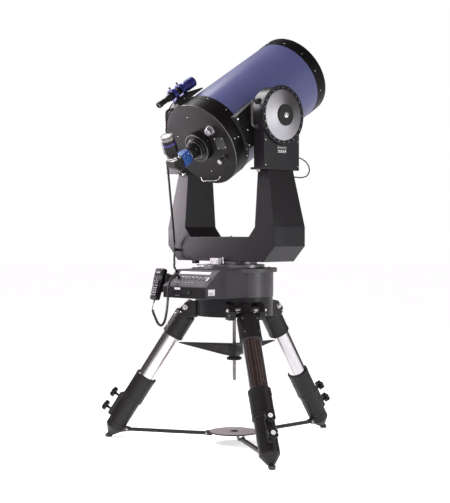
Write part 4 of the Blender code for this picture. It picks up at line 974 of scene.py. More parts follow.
for x0 in (-0.045, 0.110):
    turned(bm, (x0, 0.02, 1.1265), Z, [(0.0055, 0), (0.0055, 0.005, 0.001), (0.004, 0.0052)], 20)
piece("fork_casting", bm, M["casting"], "fork", ["fork_base", "fork_arm_left", "fork_arm_right"], angle=32)

for side, name in ((-1, "left"), (1, "right")):
    more = 0.034 if side < 0 else 0.0
    half = math.degrees(math.acos(0.133 / 0.152))
    pts = [(-0.133, 1.477), (0.133, 1.477)]
    pts += [(0.152 * math.cos(math.radians(-half + (180 + 2 * half) * i / 72)), ALT_Z + 0.152 * math.sin(math.radians(-half + (180 + 2 * half) * i / 72))) for i in range(73)]
    part = bmesh.new()
    skin(part, [[(side * h, y, z) for y, z in pts] for h in (0.280, 0.356 + more)])
    bmesh.ops.recalc_face_normals(part, faces=part.faces)
    soften(part, 0.0022, 3, 40)
    bore = bmesh.new()
    turned(bore, (side * 0.25, 0, ALT_Z), X * side, [(0.0312, 0.0), (0.0312, 0.2)], 48)
    part = subtract(part, bore)
    bm = bmesh.new()
    join(bm, part)
    block(bm, plain, (min(side * 0.271, side * (0.3558 + more)), -0.150, 1.4772), (max(side * 0.271, side * (0.3558 + more)), 0.133, 1.4890), 0.0022, segs=3)
    for z0 in (1.829, 1.697):
        block(bm, plain, (side * (0.315 + more * 1.15) - 0.014, -0.148, z0 - 0.013), (side * (0.315 + more * 1.15) + 0.014, -0.110, z0 + 0.013), 0.0020)
    piece(f"bearing_case_{name}", bm, M["casting"], "fork", [f"bearing_housing_{name}"], angle=28)
    bm = bmesh.new()
    hx = side * (0.315 + more * 1.15)
    path = [Vector((hx, -0.1483, 1.829))]
    path += [Vector((hx, -0.163 - 0.018 * math.sin(t), 1.811 + 0.018 * math.cos(t))) for t in [math.pi / 2 * k / 8 for k in range(9)]]
    path += [Vector((hx, -0.181, 1.763))]
    path += [Vector((hx, -0.163 - 0.018 * math.cos(t), 1.715 - 0.018 * math.sin(t))) for t in [math.pi / 2 * k / 8 for k in range(9)]]
    path += [Vector((hx, -0.1483, 1.697))]
    tube_mesh(bm, path, 0.0064, 20)
    for z0 in (1.829, 1.697):
        turned(bm, (hx, -0.1483, z0), -Y, [(0.0095, 0), (0.0095, 0.0035, 0.001), (0.0066, 0.0042)], 28)
    piece(f"grab_handle_{name}", bm, M["handle"], "fork", [f"fork_handle_{name}"])
    bm = bmesh.new()
    for y0 in (-0.122, 0.122):
        for z0 in (1.500, 1.630):
            screw(bm, Vector((side * (0.3560 + more), y0, z0)), X * side, 0.0030, 0.0020, "dome")
    screw(bm, Vector((side * 0.290, -0.108, 1.4772)), -Z, 0.0105, 0.0100, "hex", ref=X)
    piece(f"housing_screws_{name}", bm, M["silver"], "fork", ())
# pointer plate on the right housing
bm = bmesh.new()
rx = lambda y, z, h: Vector((0.356 + h, y, z))
block(bm, rx, (-0.041, 1.5640, 0.0), (0.034, 1.6040, 0.0030), 0.0012, 0)
for k in range(9):
    y0 = -0.033 + 0.0073 * k
    tall = 0.0105 if k % 4 == 0 else 0.0065
    block(bm, rx, (y0 - 0.0009, 1.5965 - tall, 0.0028), (y0 + 0.0009, 1.5965, 0.0034), 0.0002, 1)
for k in range(4):
    block(bm, rx, (-0.030 + 0.0160 * k, 1.5720, 0.0028), (-0.0225 + 0.0160 * k, 1.5790, 0.0034), 0.0004, 1)
block(bm, rx, (-0.034, 1.5670, 0.0028), (0.027, 1.5684, 0.0034), 0.0002, 1)
piece("pointer_plate", bm, [M["satin"], M["white"]], "fork", ())
# azimuth clamp block and its pin, low on the fork's rear face
bm = bmesh.new()
block(bm, plain, (-0.037, -0.1480, 0.9800), (0.025, -0.1169, 1.0125), 0.0022, 0, segs=3)
for x0 in (-0.027, 0.015):
    screw(bm, Vector((x0, -0.1478, 0.9960)), -Y, 0.0034, 0.0022, "socket", 1)
turned(bm, (0.043, -0.1260, 0.9800), Z, [(0.0075, 0), (0.0075, 0.0040, 0.001), (0.0042, 0.0044), (0.0042, 0.0370, 0.0012), (0.0030, 0.0380)], 28, mat=1)
block(bm, plain, (0.032, -0.1345, 0.9800), (0.054, -0.1169, 0.9850), 0.0012, 2)
piece("azimuth_clamp_block", bm, [M["label"], M["silver"], M["satin"]], "fork", ())
# cable gland where the motor cable meets the housing and the arm
bm = bmesh.new()
turned(bm, (0.318, 0.1328, 1.552), Y, [(0.0075, 0), (0.0075, 0.005, 0.001), (0.0050, 0.010, 0.001), (0.0040, 0.0105)], 24)
turned(bm, (0.318, taper_y(1.446) - 0.0004, 1.446), Y, [(0.0075, 0), (0.0075, 0.005, 0.001), (0.0050, 0.010, 0.001), (0.0040, 0.0105)], 24)
for z0 in (CLIP.z + 0.0118, CLIP.z - 0.0128):
    turned(bm, (CLIP.x, CLIP.y, z0), Z, [(0.0085, 0), (0.0085, 0.0010, 0.0003), (0.0062, 0.0010)], 24)
piece("cable_glands", bm, M["plastic"], "fork", ())

# ---------------------------------------------------------------------------- tube
def tlathe(bm, u, w, profile, seg=64, closed=False, mat=0, fillet=0.0, shape=None):
    return turned(bm, ota(u, w, 0), D, profile, seg, closed, ref=W, mat=mat, fillet=fillet, shape=shape)


bm = bmesh.new()
tlathe(bm, 0, 0, [(0.2286, -0.1757), (0.2286, 0.4647)], 200)
for f in [f for f in bm.faces if len(f.verts) > 4]:
    bm.faces.remove(f)
outer_ring = list(bm.verts)
tlathe(bm, 0, 0, [(0.2246, -0.1757), (0.2246, 0.1), (0.2246, 0.4647)], 200, mat=1)
for f in [f for f in bm.faces if len(f.verts) > 4]:
    bm.faces.remove(f)
bm.verts.ensure_lookup_table()
n_out = 200
vs = list(bm.verts)
for a0, b0 in ((0, 400), (200, 800)):
    for i in range(200):
        j = (i + 1) % 200
        bm.faces.new((vs[a0 + i], vs[a0 + j], vs[b0 + j], vs[b0 + i])).material_index = 1
piece("tube_shell", bm, [M["blue"], M["inner"]], "telescope_tube", ["optical_tube"])

bm = bmesh.new()
tlathe(bm, 0, 0, [(0.0400, -0.2860), (0.2326, -0.2860, 0.0006), (0.2348, -0.2838, 0.0006), (0.2348, -0.2112, 0.0008), (0.2330, -0.2106), (0.2330, -0.2094), (0.2348, -0.2088, 0.0008), (0.2348, -0.1760, 0.0014), (0.2206, -0.1760), (0.2206, -0.2720, 0.003), (0.0460, -0.2720, 0.003), (0.0460, 0.1800), (0.0430, 0.1800), (0.0400, 0.1700)], 200, closed=True)
for f in bm.faces:
    c = f.calc_center_median() - O
    s, r = c.dot(D), (c - D * c.dot(D)).length
    # The outer chamfer of the rear face gets the lighter edge metal: a painted highlight for the pale line along that
    # edge.
    if s < -0.2840 and r > 0.2326:
        f.material_index = 1
    elif r < 0.0462 and s > -0.26:
        f.material_index = 2
piece("rear_casting", bm, [M["cell"], M["rim"], M["inner"]], "telescope_tube", ["rear_cell"])
bm = bmesh.new()
tlathe(bm, 0, 0, [(0.060, -0.2400), (0.2050, -0.2400, 0.001), (0.2050, -0.1960), (0.1700, -0.1990), (0.1300, -0.2020), (0.0900, -0.2040), (0.0600, -0.2050)], 128, closed=True)
piece("mirror_disc", bm, M["mirror"], "telescope_tube", ["primary_mirror"], angle=45)

# ring at the mouth of the tube, corrector plate and secondary cell
bm = bmesh.new()
tlathe(bm, 0, 0, [(0.2245, 0.4650), (0.2305, 0.4650, 0.0010), (0.2305, 0.5410, 0.0035), (0.2100, 0.5410, 0.002), (0.2060, 0.5310, 0.002), (0.2060, 0.5280), (0.2245, 0.5280)], 200, closed=True)
piece("front_ring", bm, M["cell"], "telescope_tube", ["corrector_cell"])
bm = bmesh.new()
tlathe(bm, 0, 0, [(0.0560, 0.5210), (0.2235, 0.5210, 0.0006), (0.2235, 0.5276, 0.0006), (0.0560, 0.5276)], 160, closed=True)
piece("corrector_lens", bm, M["glass"], "telescope_tube", ["corrector_plate"])
bm = bmesh.new()
tlathe(bm, 0, 0, [(0.0400, 0.4600), (0.0500, 0.4600, 0.001), (0.0640, 0.4640, 0.002), (0.0640, 0.5205, 0.0005), (0.0555, 0.5207), (0.0555, 0.5281), (0.0660, 0.5281, 0.0006), (0.0660, 0.5360, 0.0012), (0.0600, 0.5385, 0.0010), (0.0450, 0.5385)], 96)
for k in range(3):
    t = math.pi / 2 + 2 * math.pi * k / 3
    screw(bm, ota(0.030 * math.cos(t), 0.030 * math.sin(t), 0.5384), D, 0.0042, 0.0030, "socket")
tlathe(bm, 0, 0, [(0.0520, 0.5383), (0.0520, 0.5392, 0.0004), (0.0500, 0.5392)], 96)
piece("secondary_cell", bm, M["satin"], "telescope_tube", ["secondary_holder"])

# small screws around the tube
bm = bmesh.new()
for k in range(12):
    t = math.radians(8 + 30 * k)
    out = X * math.cos(t) + W * math.sin(t)
    screw(bm, O + out * 0.2346 + D * -0.1930, out, 0.0036, 0.0020, "dome")
    screw(bm, O + out * 0.2303 + D * 0.4900, out, 0.0032, 0.0016, "dome")
    screw(bm, O + out * 0.2180 + D * 0.5405, D, 0.0034, 0.0018, "dome")
for u, w in ((0.116, 0.027), (0.169, 0.027), (0.117, -0.026), (0.171, -0.024), (-0.014, 0.164), (-0.008, -0.158), (-0.150, 0.060), (-0.140, -0.090)):
    screw(bm, ota(u, w, -0.2872 if 0.1 < u else -0.2859), -D, 0.0030, 0.0016, "dome")
piece("tube_screws", bm, M["silver"], "telescope_tube", ())
bm = bmesh.new()
back = lambda u, w, h: ota(u, w, -0.286 - h)
block(bm, back, (0.108, -0.034, 0.0), (0.179, 0.035, 0.0014), 0.0006)
turned(bm, ota(0.110, 0.077, -0.286), -D, [(0.0330, 0.0), (0.0330, 0.0014, 0.0004), (0.0250, 0.0016)], 48)
turned(bm, ota(0.135, -0.085, -0.286), -D, [(0.0180, 0.0), (0.0180, 0.0016, 0.0004), (0.0100, 0.0018)], 40)
piece("back_plates", bm, M["satin"], "telescope_tube", ())
bm = bmesh.new()
for t0, t1 in ((-0.35, 0.75), (0.95, 1.75)):
    pts = [ota(0.110 + 0.0285 * math.cos(t0 + (t1 - t0) * k / 14), 0.077 + 0.0285 * math.sin(t0 + (t1 - t0) * k / 14), -0.2877) for k in range(15)]
    tube_mesh(bm, pts, 0.0010, 8)
for t in (-0.35, 0.75):
    pts = [ota(0.110 + 0.0285 * math.cos(t + 0.10 * q), 0.077 + 0.0285 * math.sin(t + 0.10 * q), -0.2877) for q in (-1, 0, 1)]
    tube_mesh(bm, pts, 0.0017, 8)
piece("back_marks", bm, M["white"], "telescope_tube", ())

# bail handle at the lower edge of the casting
bm = bmesh.new()
pts = [ota(-0.1085, -0.1960, -0.2850)] + [ota(-0.1085 + 0.004 * k, -0.1975 - 0.0035 * k, -0.2870 - 0.0035 * k) for k in range(1, 4)]
pts += [ota(-0.090 + 0.0112 * k, -0.2100, -0.2990) for k in range(10)]
pts += [ota(0.026, -0.2065, -0.2960), ota(0.036, -0.1990, -0.2900), ota(0.039, -0.1945, -0.2850)]
tube_mesh(bm, smooth_route(pts, 0.004), 0.0021, 14)
for u0 in (-0.1085, 0.039):
    turned(bm, ota(u0, -0.1952, -0.2859), -D, [(0.0055, 0.0), (0.0055, 0.0030, 0.0008), (0.0030, 0.0034)], 24)
piece("bail_handle", bm, M["steel"], "telescope_tube", ())

# side brackets
for side, name in ((-1, "left"), (1, "right")):
    more = 0.034 if side < 0 else 0.0
    pts = [(-0.210, -0.078), (-0.210, 0.108), (-0.060, 0.118), (0.060, 0.095), (0.100, 0.050), (0.100, -0.050), (0.060, -0.095), (-0.120, -0.095)]
    part = bmesh.new()
    skin(part, [[O + D * a + W * b + X * (side * h) for a, b in pts] for h in (0.205, 0.250)])
    bmesh.ops.recalc_face_normals(part, faces=part.faces)
    soften(part, 0.0022, 3)
    tool = bmesh.new()
    turned(tool, O, D, [(0.2357, -0.40), (0.2357, 0.30)], 160, ref=W)
    part = subtract(part, tool)
    bm = bmesh.new()
    join(bm, part)
    turned(bm, O + X * (side * 0.244), X * side, [(0.0420, 0.0), (0.0420, 0.0300, 0.001), (0.0300, 0.0305), (0.0300, 0.1115 + more)], 64)
    piece(f"saddle_bracket_{name}", bm, M["satin"], "telescope_tube", [f"altitude_bracket_{name}"], angle=28)
    bm = bmesh.new()
    for s0, w0, r0 in ((-0.1980, 0.091, 0.0085), (-0.1660, 0.010, 0.0058), (-0.1960, -0.064, 0.0050)):
        screw(bm, ota(side * 0.2498, w0, s0), X * side, r0, 0.0045, "dome", dark=1)
    for s0, t0 in ((-0.2580, 2.3), (-0.2320, 1.1), (-0.1930, -32.0)):
        rad = X * (side * math.cos(math.radians(t0))) + W * math.sin(math.radians(t0))
        screw(bm, O + rad * 0.2346 + D * s0, rad, 0.0042, 0.0034, "dome", dark=1)
    piece(f"bracket_bolts_{name}", bm, [M["silver"], M["gloss"]], "telescope_tube", ())

    x0 = 0.3565 + more
    if side > 0:
        bm = bmesh.new()
        turned(bm, O, X, [(0.1345, x0), (0.1557, x0), (0.1557, x0 + 0.0085, 0.001), (0.1535, x0 + 0.0102, 0.001), (0.1345, x0 + 0.0102)], 180, closed=True, ref=W)
        piece("graduated_circle", bm, M["circle"], "telescope_tube", ["setting_circle_right"])
        bm = bmesh.new()
        for k in range(24):
            t = 2 * math.pi * k / 24
            text = bpy.data.curves.new("figures", "FONT")
            text.body = str(k)
            text.size = 0.0068
            text.extrude = 0.0002
            text.align_x, text.align_y = "CENTER", "CENTER"
            ob = bpy.data.objects.new("figures", text)
            COL.objects.link(ob)
            bpy.context.view_layer.update()
            data = bpy.data.meshes.new_from_object(ob.evaluated_get(bpy.context.evaluated_depsgraph_get()))
            out = W * math.cos(t) + Y.cross(Z).cross(W) * math.sin(t)
            out = (W * math.cos(t) + D * math.sin(t)).normalized()
            tang = out.cross(X).normalized()
            part = bmesh.new()
            part.from_mesh(data)
            centre = O + X * (x0 + 0.0103) + out * 0.1416
            join(bm, part, lambda p, q, h: centre - tang * p + out * q + X * h)
            bpy.data.objects.remove(ob, do_unlink=True)
            bpy.data.curves.remove(text)
            bpy.data.meshes.remove(data)
        piece("circle_figures", bm, M["white"], "telescope_tube", ())
        bm = bmesh.new()
        turned(bm, O, X, [(0.1340, x0), (0.1340, x0 + 0.0080, 0.0008), (0.1315, x0 + 0.0102, 0.0008), (0.0575, 0.3792, 0.0006), (0.0560, 0.3790), (0.0540, 0.3790)], 180, ref=W)
        piece("altitude_cone", bm, M["dial"], "telescope_tube", ["altitude_dial_right"])
    else:
        bm = bmesh.new()
        turned(bm, O, -X, [(0.1557, x0), (0.1557, x0 + 0.0085, 0.001), (0.1340, x0 + 0.0102, 0.001), (0.0575, 0.3792 + more, 0.0006), (0.0540, 0.3790 + more)], 180, ref=W)
        piece("altitude_cover_left", bm, M["dial_l"], "telescope_tube", ["altitude_dial_left"])
    bm = bmesh.new()
    turned(bm, O, X * side, [(0.0560, 0.3789 + more), (0.0560, 0.3848 + more, 0.0010), (0.0545, 0.3862 + more, 0.0008), (0.0135, 0.3866 + more)], 96, ref=W)
    piece(f"dial_hub_{name}", bm, M["satin"], "telescope_tube", ())
    bm = bmesh.new()
    turned(bm, O, X * side, [(0.0150, 0.3864 + more), (0.0150, 0.3885 + more, 0.0008), (0.0128, 0.3890 + more), (0.0128, 0.3930 + more, 0.0010), (0.0100, 0.3948 + more, 0.0006), (0.0050, 0.3950 + more)], 48, ref=W)
    screw(bm, O + X * (side * (0.3944 + more)), X * side, 0.0050, 0.0012, "socket")
    piece(f"dial_centre_{name}", bm, M["silver"], "telescope_tube", ())

# --------------------------------------------------------------- focuser and visual back
bm = bmesh.new()
tlathe(bm, 0, 0, [(0.0700, -0.2863), (0.0800, -0.2863, 0.0008), (0.0800, -0.3215, 0.0012), (0.0775, -0.3258, 0.0012), (0.0700, -0.3260, 0.001), (0.0690, -0.3225, 0.001), (0.0560, -0.3225, 0.001), (0.0550, -0.3290, 0.0008), (0.0520, -0.3300), (0.0520, -0.3440, 0.001), (0.0420, -0.3450, 0.001), (0.0410, -0.3400, 0.0008), (0.0370, -0.3400), (0.0360, -0.3475), (0.0360, -0.3700, 0.0006), (0.0340, -0.3705, 0.0006), (0.0340, -0.3760, 0.0006), (0.0360, -0.3765, 0.0006), (0.0360, -0.4047)], 112)
piece("focuser_body", bm, M["satin"], "telescope_tube", ["focuser_drum"])
bm = bmesh.new()
# Thin rings of the lighter edge metal on the focuser's steps: partly a painted highlight on these edges.
for r0, s0 in ((0.0774, -0.3256), (0.0550, -0.3290), (0.0520, -0.3440)):
    tlathe(bm, 0, 0, [(r0 - 0.0012, s0 + 0.0004), (r0 + 0.0006, s0 + 0.0004), (r0 + 0.0003, s0 - 0.0006, 0.0003), (r0 - 0.0012, s0 - 0.0006)], 112, closed=True)
for k in range(3):
    t = math.radians(20 + 120 * k)
    out = X * math.cos(t) + W * math.sin(t)
    screw(bm, O + out * 0.0799 + D * -0.3000, out, 0.0034, 0.0020, "socket")
    screw(bm, O + out * 0.0358 + D * -0.3580, out, 0.0040, 0.0060, "dome")
piece("focuser_bright_edges", bm, M["rim"], "telescope_tube", ())
bm = bmesh.new()
mp = lambda u, w, h: ota(u, w, h)
part = bmesh.new()
skin(part, [[ota(u, w, s) for u, w in [(-0.034, -0.034), (0.026, -0.034), (0.034, -0.026), (0.034, 0.034), (-0.026, 0.034), (-0.034, 0.026)]] for s in (-0.4050, -0.4650)])
bmesh.ops.recalc_face_normals(part, faces=part.faces)
soften(part, 0.0022, 3)
join(bm, part)
piece("focus_motor_block", bm, M["azure"], "telescope_tube", ["focus_motor"])
bm = bmesh.new()
block(bm, mp, (-0.0385, -0.0420, -0.4560), (0.0180, 0.0020, -0.4130), 0.0030, segs=3)
block(bm, mp, (-0.0300, -0.0440, -0.4480), (0.0080, -0.0400, -0.4200), 0.0016)
turned(bm, ota(0.0340, 0.004, -0.4350), X, [(0.0130, -0.001), (0.0130, 0.0050, 0.001), (0.0090, 0.0058)], 36)
piece("focus_motor_cover", bm, M["azure"], "telescope_tube", ())
bm = bmesh.new()
for s0, w0 in ((-0.4180, 0.0200), (-0.4500, 0.0200)):
    screw(bm, ota(-0.0338, w0, s0), -X, 0.0032, 0.0020, "dome")
    screw(bm, ota(0.0338, w0, s0), X, 0.0032, 0.0020, "dome")
tlathe(bm, 0, 0, [(0.0335, -0.4052), (0.0375, -0.4052, 0.0006), (0.0375, -0.4012, 0.0006), (0.0335, -0.4012)], 72, closed=True)
turned(bm, FC_START + X * 0.001, -X, [(0.0070, 0.0), (0.0070, 0.0080, 0.001), (0.0048, 0.0150, 0.001), (0.0028, 0.0180)], 24)
piece("focus_motor_fittings", bm, M["silver"], "telescope_tube", ())

# diagonal and eyepiece
EYE_TILT = math.radians(-10)
E = (W * math.cos(EYE_TILT) - X * math.sin(EYE_TILT)).normalized()
F = D.cross(E).normalized()
EYE_S = -0.502
bm = bmesh.new()
part = bmesh.new()
skin(part, [[O + D * a + E * b + F * h for a, b in [(-0.4653, -0.032), (-0.4653, 0.032), (-0.5340, 0.032), (-0.5340, -0.002), (-0.5050, -0.032)]] for h in (-0.031, 0.031)])
bmesh.ops.recalc_face_normals(part, faces=part.faces)
soften(part, 0.0030, 3)
join(bm, part)
turned(bm, O + D * EYE_S, E, [(0.0255, 0.030), (0.0255, 0.0496)], 56)
turned(bm, O, D, [(0.0290, -0.4660), (0.0290, -0.4654)], 48)
dp = lambda a, b, h: O + D * a + E * b + F * h
piece("diagonal_body", bm, M["satin"], "diagonal", ["star_diagonal"])
bm = bmesh.new()
turned(bm, O + D * EYE_S, E, [(0.0262, 0.0325), (0.0285, 0.0325, 0.0006), (0.0285, 0.0385, 0.0008), (0.0262, 0.0385)], 56, closed=True)
turned(bm, O + D * EYE_S, E, [(0.0262, 0.0430), (0.0276, 0.0430, 0.0004), (0.0276, 0.0492, 0.0004), (0.0262, 0.0492)], 56, closed=True)
for sgn, b0 in ((-1, 0.0405), (1, 0.0405)):
    c = O + D * EYE_S + E * b0
    for ax in (D * -0.75 + F * sgn * 0.66,):
        ax = ax.normalized()
        turned(bm, c + ax * 0.024, ax, [(0.0030, 0), (0.0030, 0.0060), (0.0058, 0.0062, 0.0006), (0.0058, 0.0150, 0.0010), (0.0040, 0.0158)], 28, shape=lambda t, h: 1.0 - 0.05 * (0.5 + 0.5 * math.cos(14 * t)))
piece("diagonal_chrome", bm, M["chrome"], "diagonal", ())
bm = bmesh.new()
e0 = O + D * EYE_S
turned(bm, e0, E, [(0.0240, 0.0500), (0.0290, 0.0500, 0.001), (0.0290, 0.0640, 0.002), (0.0330, 0.0700, 0.002), (0.0380, 0.0760, 0.002), (0.0380, 0.1190, 0.0008), (0.0372, 0.1198)], 96, mat=0)
turned(bm, e0, E, [(0.0370, 0.1190), (0.0381, 0.1198, 0.0006), (0.0381, 0.1300, 0.0006), (0.0370, 0.1308)], 96, mat=1)
turned(bm, e0, E, [(0.0360, 0.1300), (0.0368, 0.1320, 0.0008), (0.0368, 0.1480, 0.0008), (0.0360, 0.1484)], 96, mat=0, shape=lambda t, h: 1.0 - (0.02 * (0.5 + 0.5 * math.cos(40 * t)) if 0.1335 < h < 0.1470 else 0))
turned(bm, e0, E, [(0.0358, 0.1480), (0.0370, 0.1488, 0.0010), (0.0371, 0.1600, 0.0008), (0.0366, 0.1650, 0.0020), (0.0345, 0.1690, 0.0012), (0.0325, 0.1698, 0.0006), (0.0318, 0.1690)], 96, mat=2)
turned(bm, e0, E, [(0.0320, 0.1680), (0.0312, 0.1694, 0.0005), (0.0230, 0.1690, 0.001), (0.0160, 0.1640, 0.001), (0.0120, 0.1640)], 96, mat=0)
turned(bm, e0, E, [(0.0130, 0.1636), (0.0100, 0.1652), (0.0060, 0.1660), (0.0020, 0.1663)], 48, mat=3)
for h0 in (0.080, 0.0845, 0.089):
    turned(bm, e0, E, [(0.0378, h0 - 0.0014), (0.0384, h0 - 0.0010, 0.0004), (0.0384, h0 + 0.0010, 0.0004), (0.0378, h0 + 0.0014)], 96, closed=True, mat=0)
piece("eyepiece_body", bm, [M["satin"], M["violet"], M["rim"], M["gloss"]], "diagonal", ["eyepiece"])

bm = bmesh.new()
tlathe(bm, 0.135, -0.085, [(0.0060, -0.2864), (0.0085, -0.2864), (0.0085, -0.2905), (0.0135, -0.2909, 0.0008), (0.0135, -0.2950, 0.0008), (0.0128, -0.2956, 0.0004), (0.0128, -0.2976, 0.0004), (0.0135, -0.2982, 0.0008), (0.0135, -0.3325, 0.0014), (0.0120, -0.3348, 0.0010), (0.0060, -0.3349)], 64, shape=lambda t, h: 1.0 - (0.035 * (0.5 + 0.5 * math.cos(30 * t)) if -0.331 < h < -0.300 else 0))
piece("focus_spindle_knob", bm, M["alu"], "focus_control", ["focus_knob"])
bm = bmesh.new()
tlathe(bm, 0.110, 0.077, [(0.0100, -0.2864), (0.0240, -0.2864, 0.0004), (0.0240, -0.2913, 0.0008), (0.0205, -0.2919, 0.0005), (0.0205, -0.3070, 0.0014), (0.0185, -0.3098, 0.0010), (0.0090, -0.3098, 0.0006), (0.0080, -0.3080), (0.0050, -0.3080)], 64, shape=lambda t, h: 1.0 - (0.06 * (0.5 + 0.5 * math.cos(18 * t)) if -0.3060 < h < -0.2930 else 0))
piece("mirror_lock_grip", bm, M["alu"], "mirror_lock", ["mirror_lock_knob"])

# -------------------------------------------------------------------------- finder
FU, FW = -0.100, 0.281
bm = bmesh.new()
tlathe(bm, FU, FW, [(0.0110, -0.3615), (0.0120, -0.3650, 0.001), (0.0160, -0.3650, 0.0014), (0.0168, -0.3420, 0.001), (0.0150, -0.3400), (0.0125, -0.3350), (0.0140, -0.3000, 0.001), (0.0185, -0.2850, 0.001), (0.0190, -0.2820, 0.001), (0.0190, -0.1640, 0.001), (0.0180, -0.1600)], 72, mat=0)
for h0 in (-0.362, -0.3575, -0.353, -0.3485):
    tlathe(bm, FU, FW, [(0.0158, h0 - 0.0014), (0.0172, h0 - 0.0009, 0.0005), (0.0172, h0 + 0.0009, 0.0005), (0.0158, h0 + 0.0014)], 72, closed=True, mat=0)
for h0 in (-0.330, -0.3255, -0.321, -0.3165, -0.312):
    tlathe(bm, FU, FW, [(0.0120, h0 - 0.0014), (0.0150, h0 - 0.0010, 0.0005), (0.0150, h0 + 0.0010, 0.0005), (0.0120, h0 + 0.0014)], 72, closed=True, mat=0)
tlathe(bm, FU, FW, [(0.0186, -0.1660), (0.0196, -0.1640, 0.001), (0.0286, -0.1410, 0.002), (0.0290, -0.1380, 0.001), (0.0290, -0.0820, 0.001), (0.0268, -0.0820, 0.001), (0.0262, -0.0880)], 72, mat=1)
tlathe(bm, FU, FW, [(0.0262, -0.0890), (0.0150, -0.0882), (0.0040, -0.0878)], 48, mat=2)
tlathe(bm, FU, FW, [(0.0282, -0.1290), (0.0297, -0.1284, 0.0004), (0.0297, -0.1246, 0.0004), (0.0282, -0.1240)], 72, closed=True, mat=0)
piece("finder_tube", bm, [M["satin"], M["royal"], M["gloss"]], "telescope_tube", ["finder_scope"])
tilt = math.atan2(-FU, FW)
RAD = W * math.cos(tilt) - X * math.sin(tilt)
SID = D.cross(RAD).normalized()
part = bmesh.new()
skin(part, [[O + D * a + RAD * b + SID * h for a, b in [(-0.268, 0.2300), (-0.268, 0.2500), (-0.250, 0.2690), (-0.165, 0.2690), (-0.065, 0.2430), (-0.065, 0.2300)]] for h in (-0.019, 0.019)])
bmesh.ops.recalc_face_normals(part, faces=part.faces)
soften(part, 0.0020, 3)
tool = bmesh.new()
turned(tool, O, D, [(0.2358, -0.40), (0.2358, 0.30)], 160, ref=W)
part = subtract(part, tool)
bm = bmesh.new()
join(bm, part, None, 0)
for s0, s1 in ((-0.2550, -0.2320), (-0.1960, -0.1730)):
    tlathe(bm, FU, FW, [(0.0262, s0), (0.0340, s0, 0.0012), (0.0340, s1, 0.0012), (0.0262, s1)], 80, closed=True, mat=1)
piece("finder_rings", bm, [M["satin"], M["royal"]], "telescope_tube", ["finder_bracket"])
bm = bmesh.new()
for sc in (-0.2435, -0.1845):
    for k in range(3):
        t = math.pi / 2 + 0.15 + 2 * math.pi * k / 3
        out = (W * math.sin(t) + X * math.cos(t)).normalized()
        c = ota(FU, FW, sc)
        turned(bm, c + out * 0.0188, out, [(0.0022, 0), (0.0022, 0.0185), (0.0052, 0.0187, 0.0005), (0.0052, 0.0270, 0.0010), (0.0030, 0.0276)], 24, shape=lambda q, h: 1.0 - (0.08 * (0.5 + 0.5 * math.cos(12 * q)) if h > 0.018 else 0))
piece("finder_thumbscrews", bm, M["plastic"], "telescope_tube", ())
bm = bmesh.new()
screw(bm, O + D * -0.105 + RAD * 0.2530, (RAD + D * 0.24).normalized(), 0.0048, 0.0040, "dome")
screw(bm, O + D * -0.210 + RAD * 0.2500 + SID * -0.0188, -SID, 0.0042, 0.0050, "dome")
screw(bm, O + D * -0.210 + RAD * 0.2500 + SID * 0.0188, SID, 0.0042, 0.0050, "dome")
piece("finder_screws", bm, M["silver"], "telescope_tube", ())

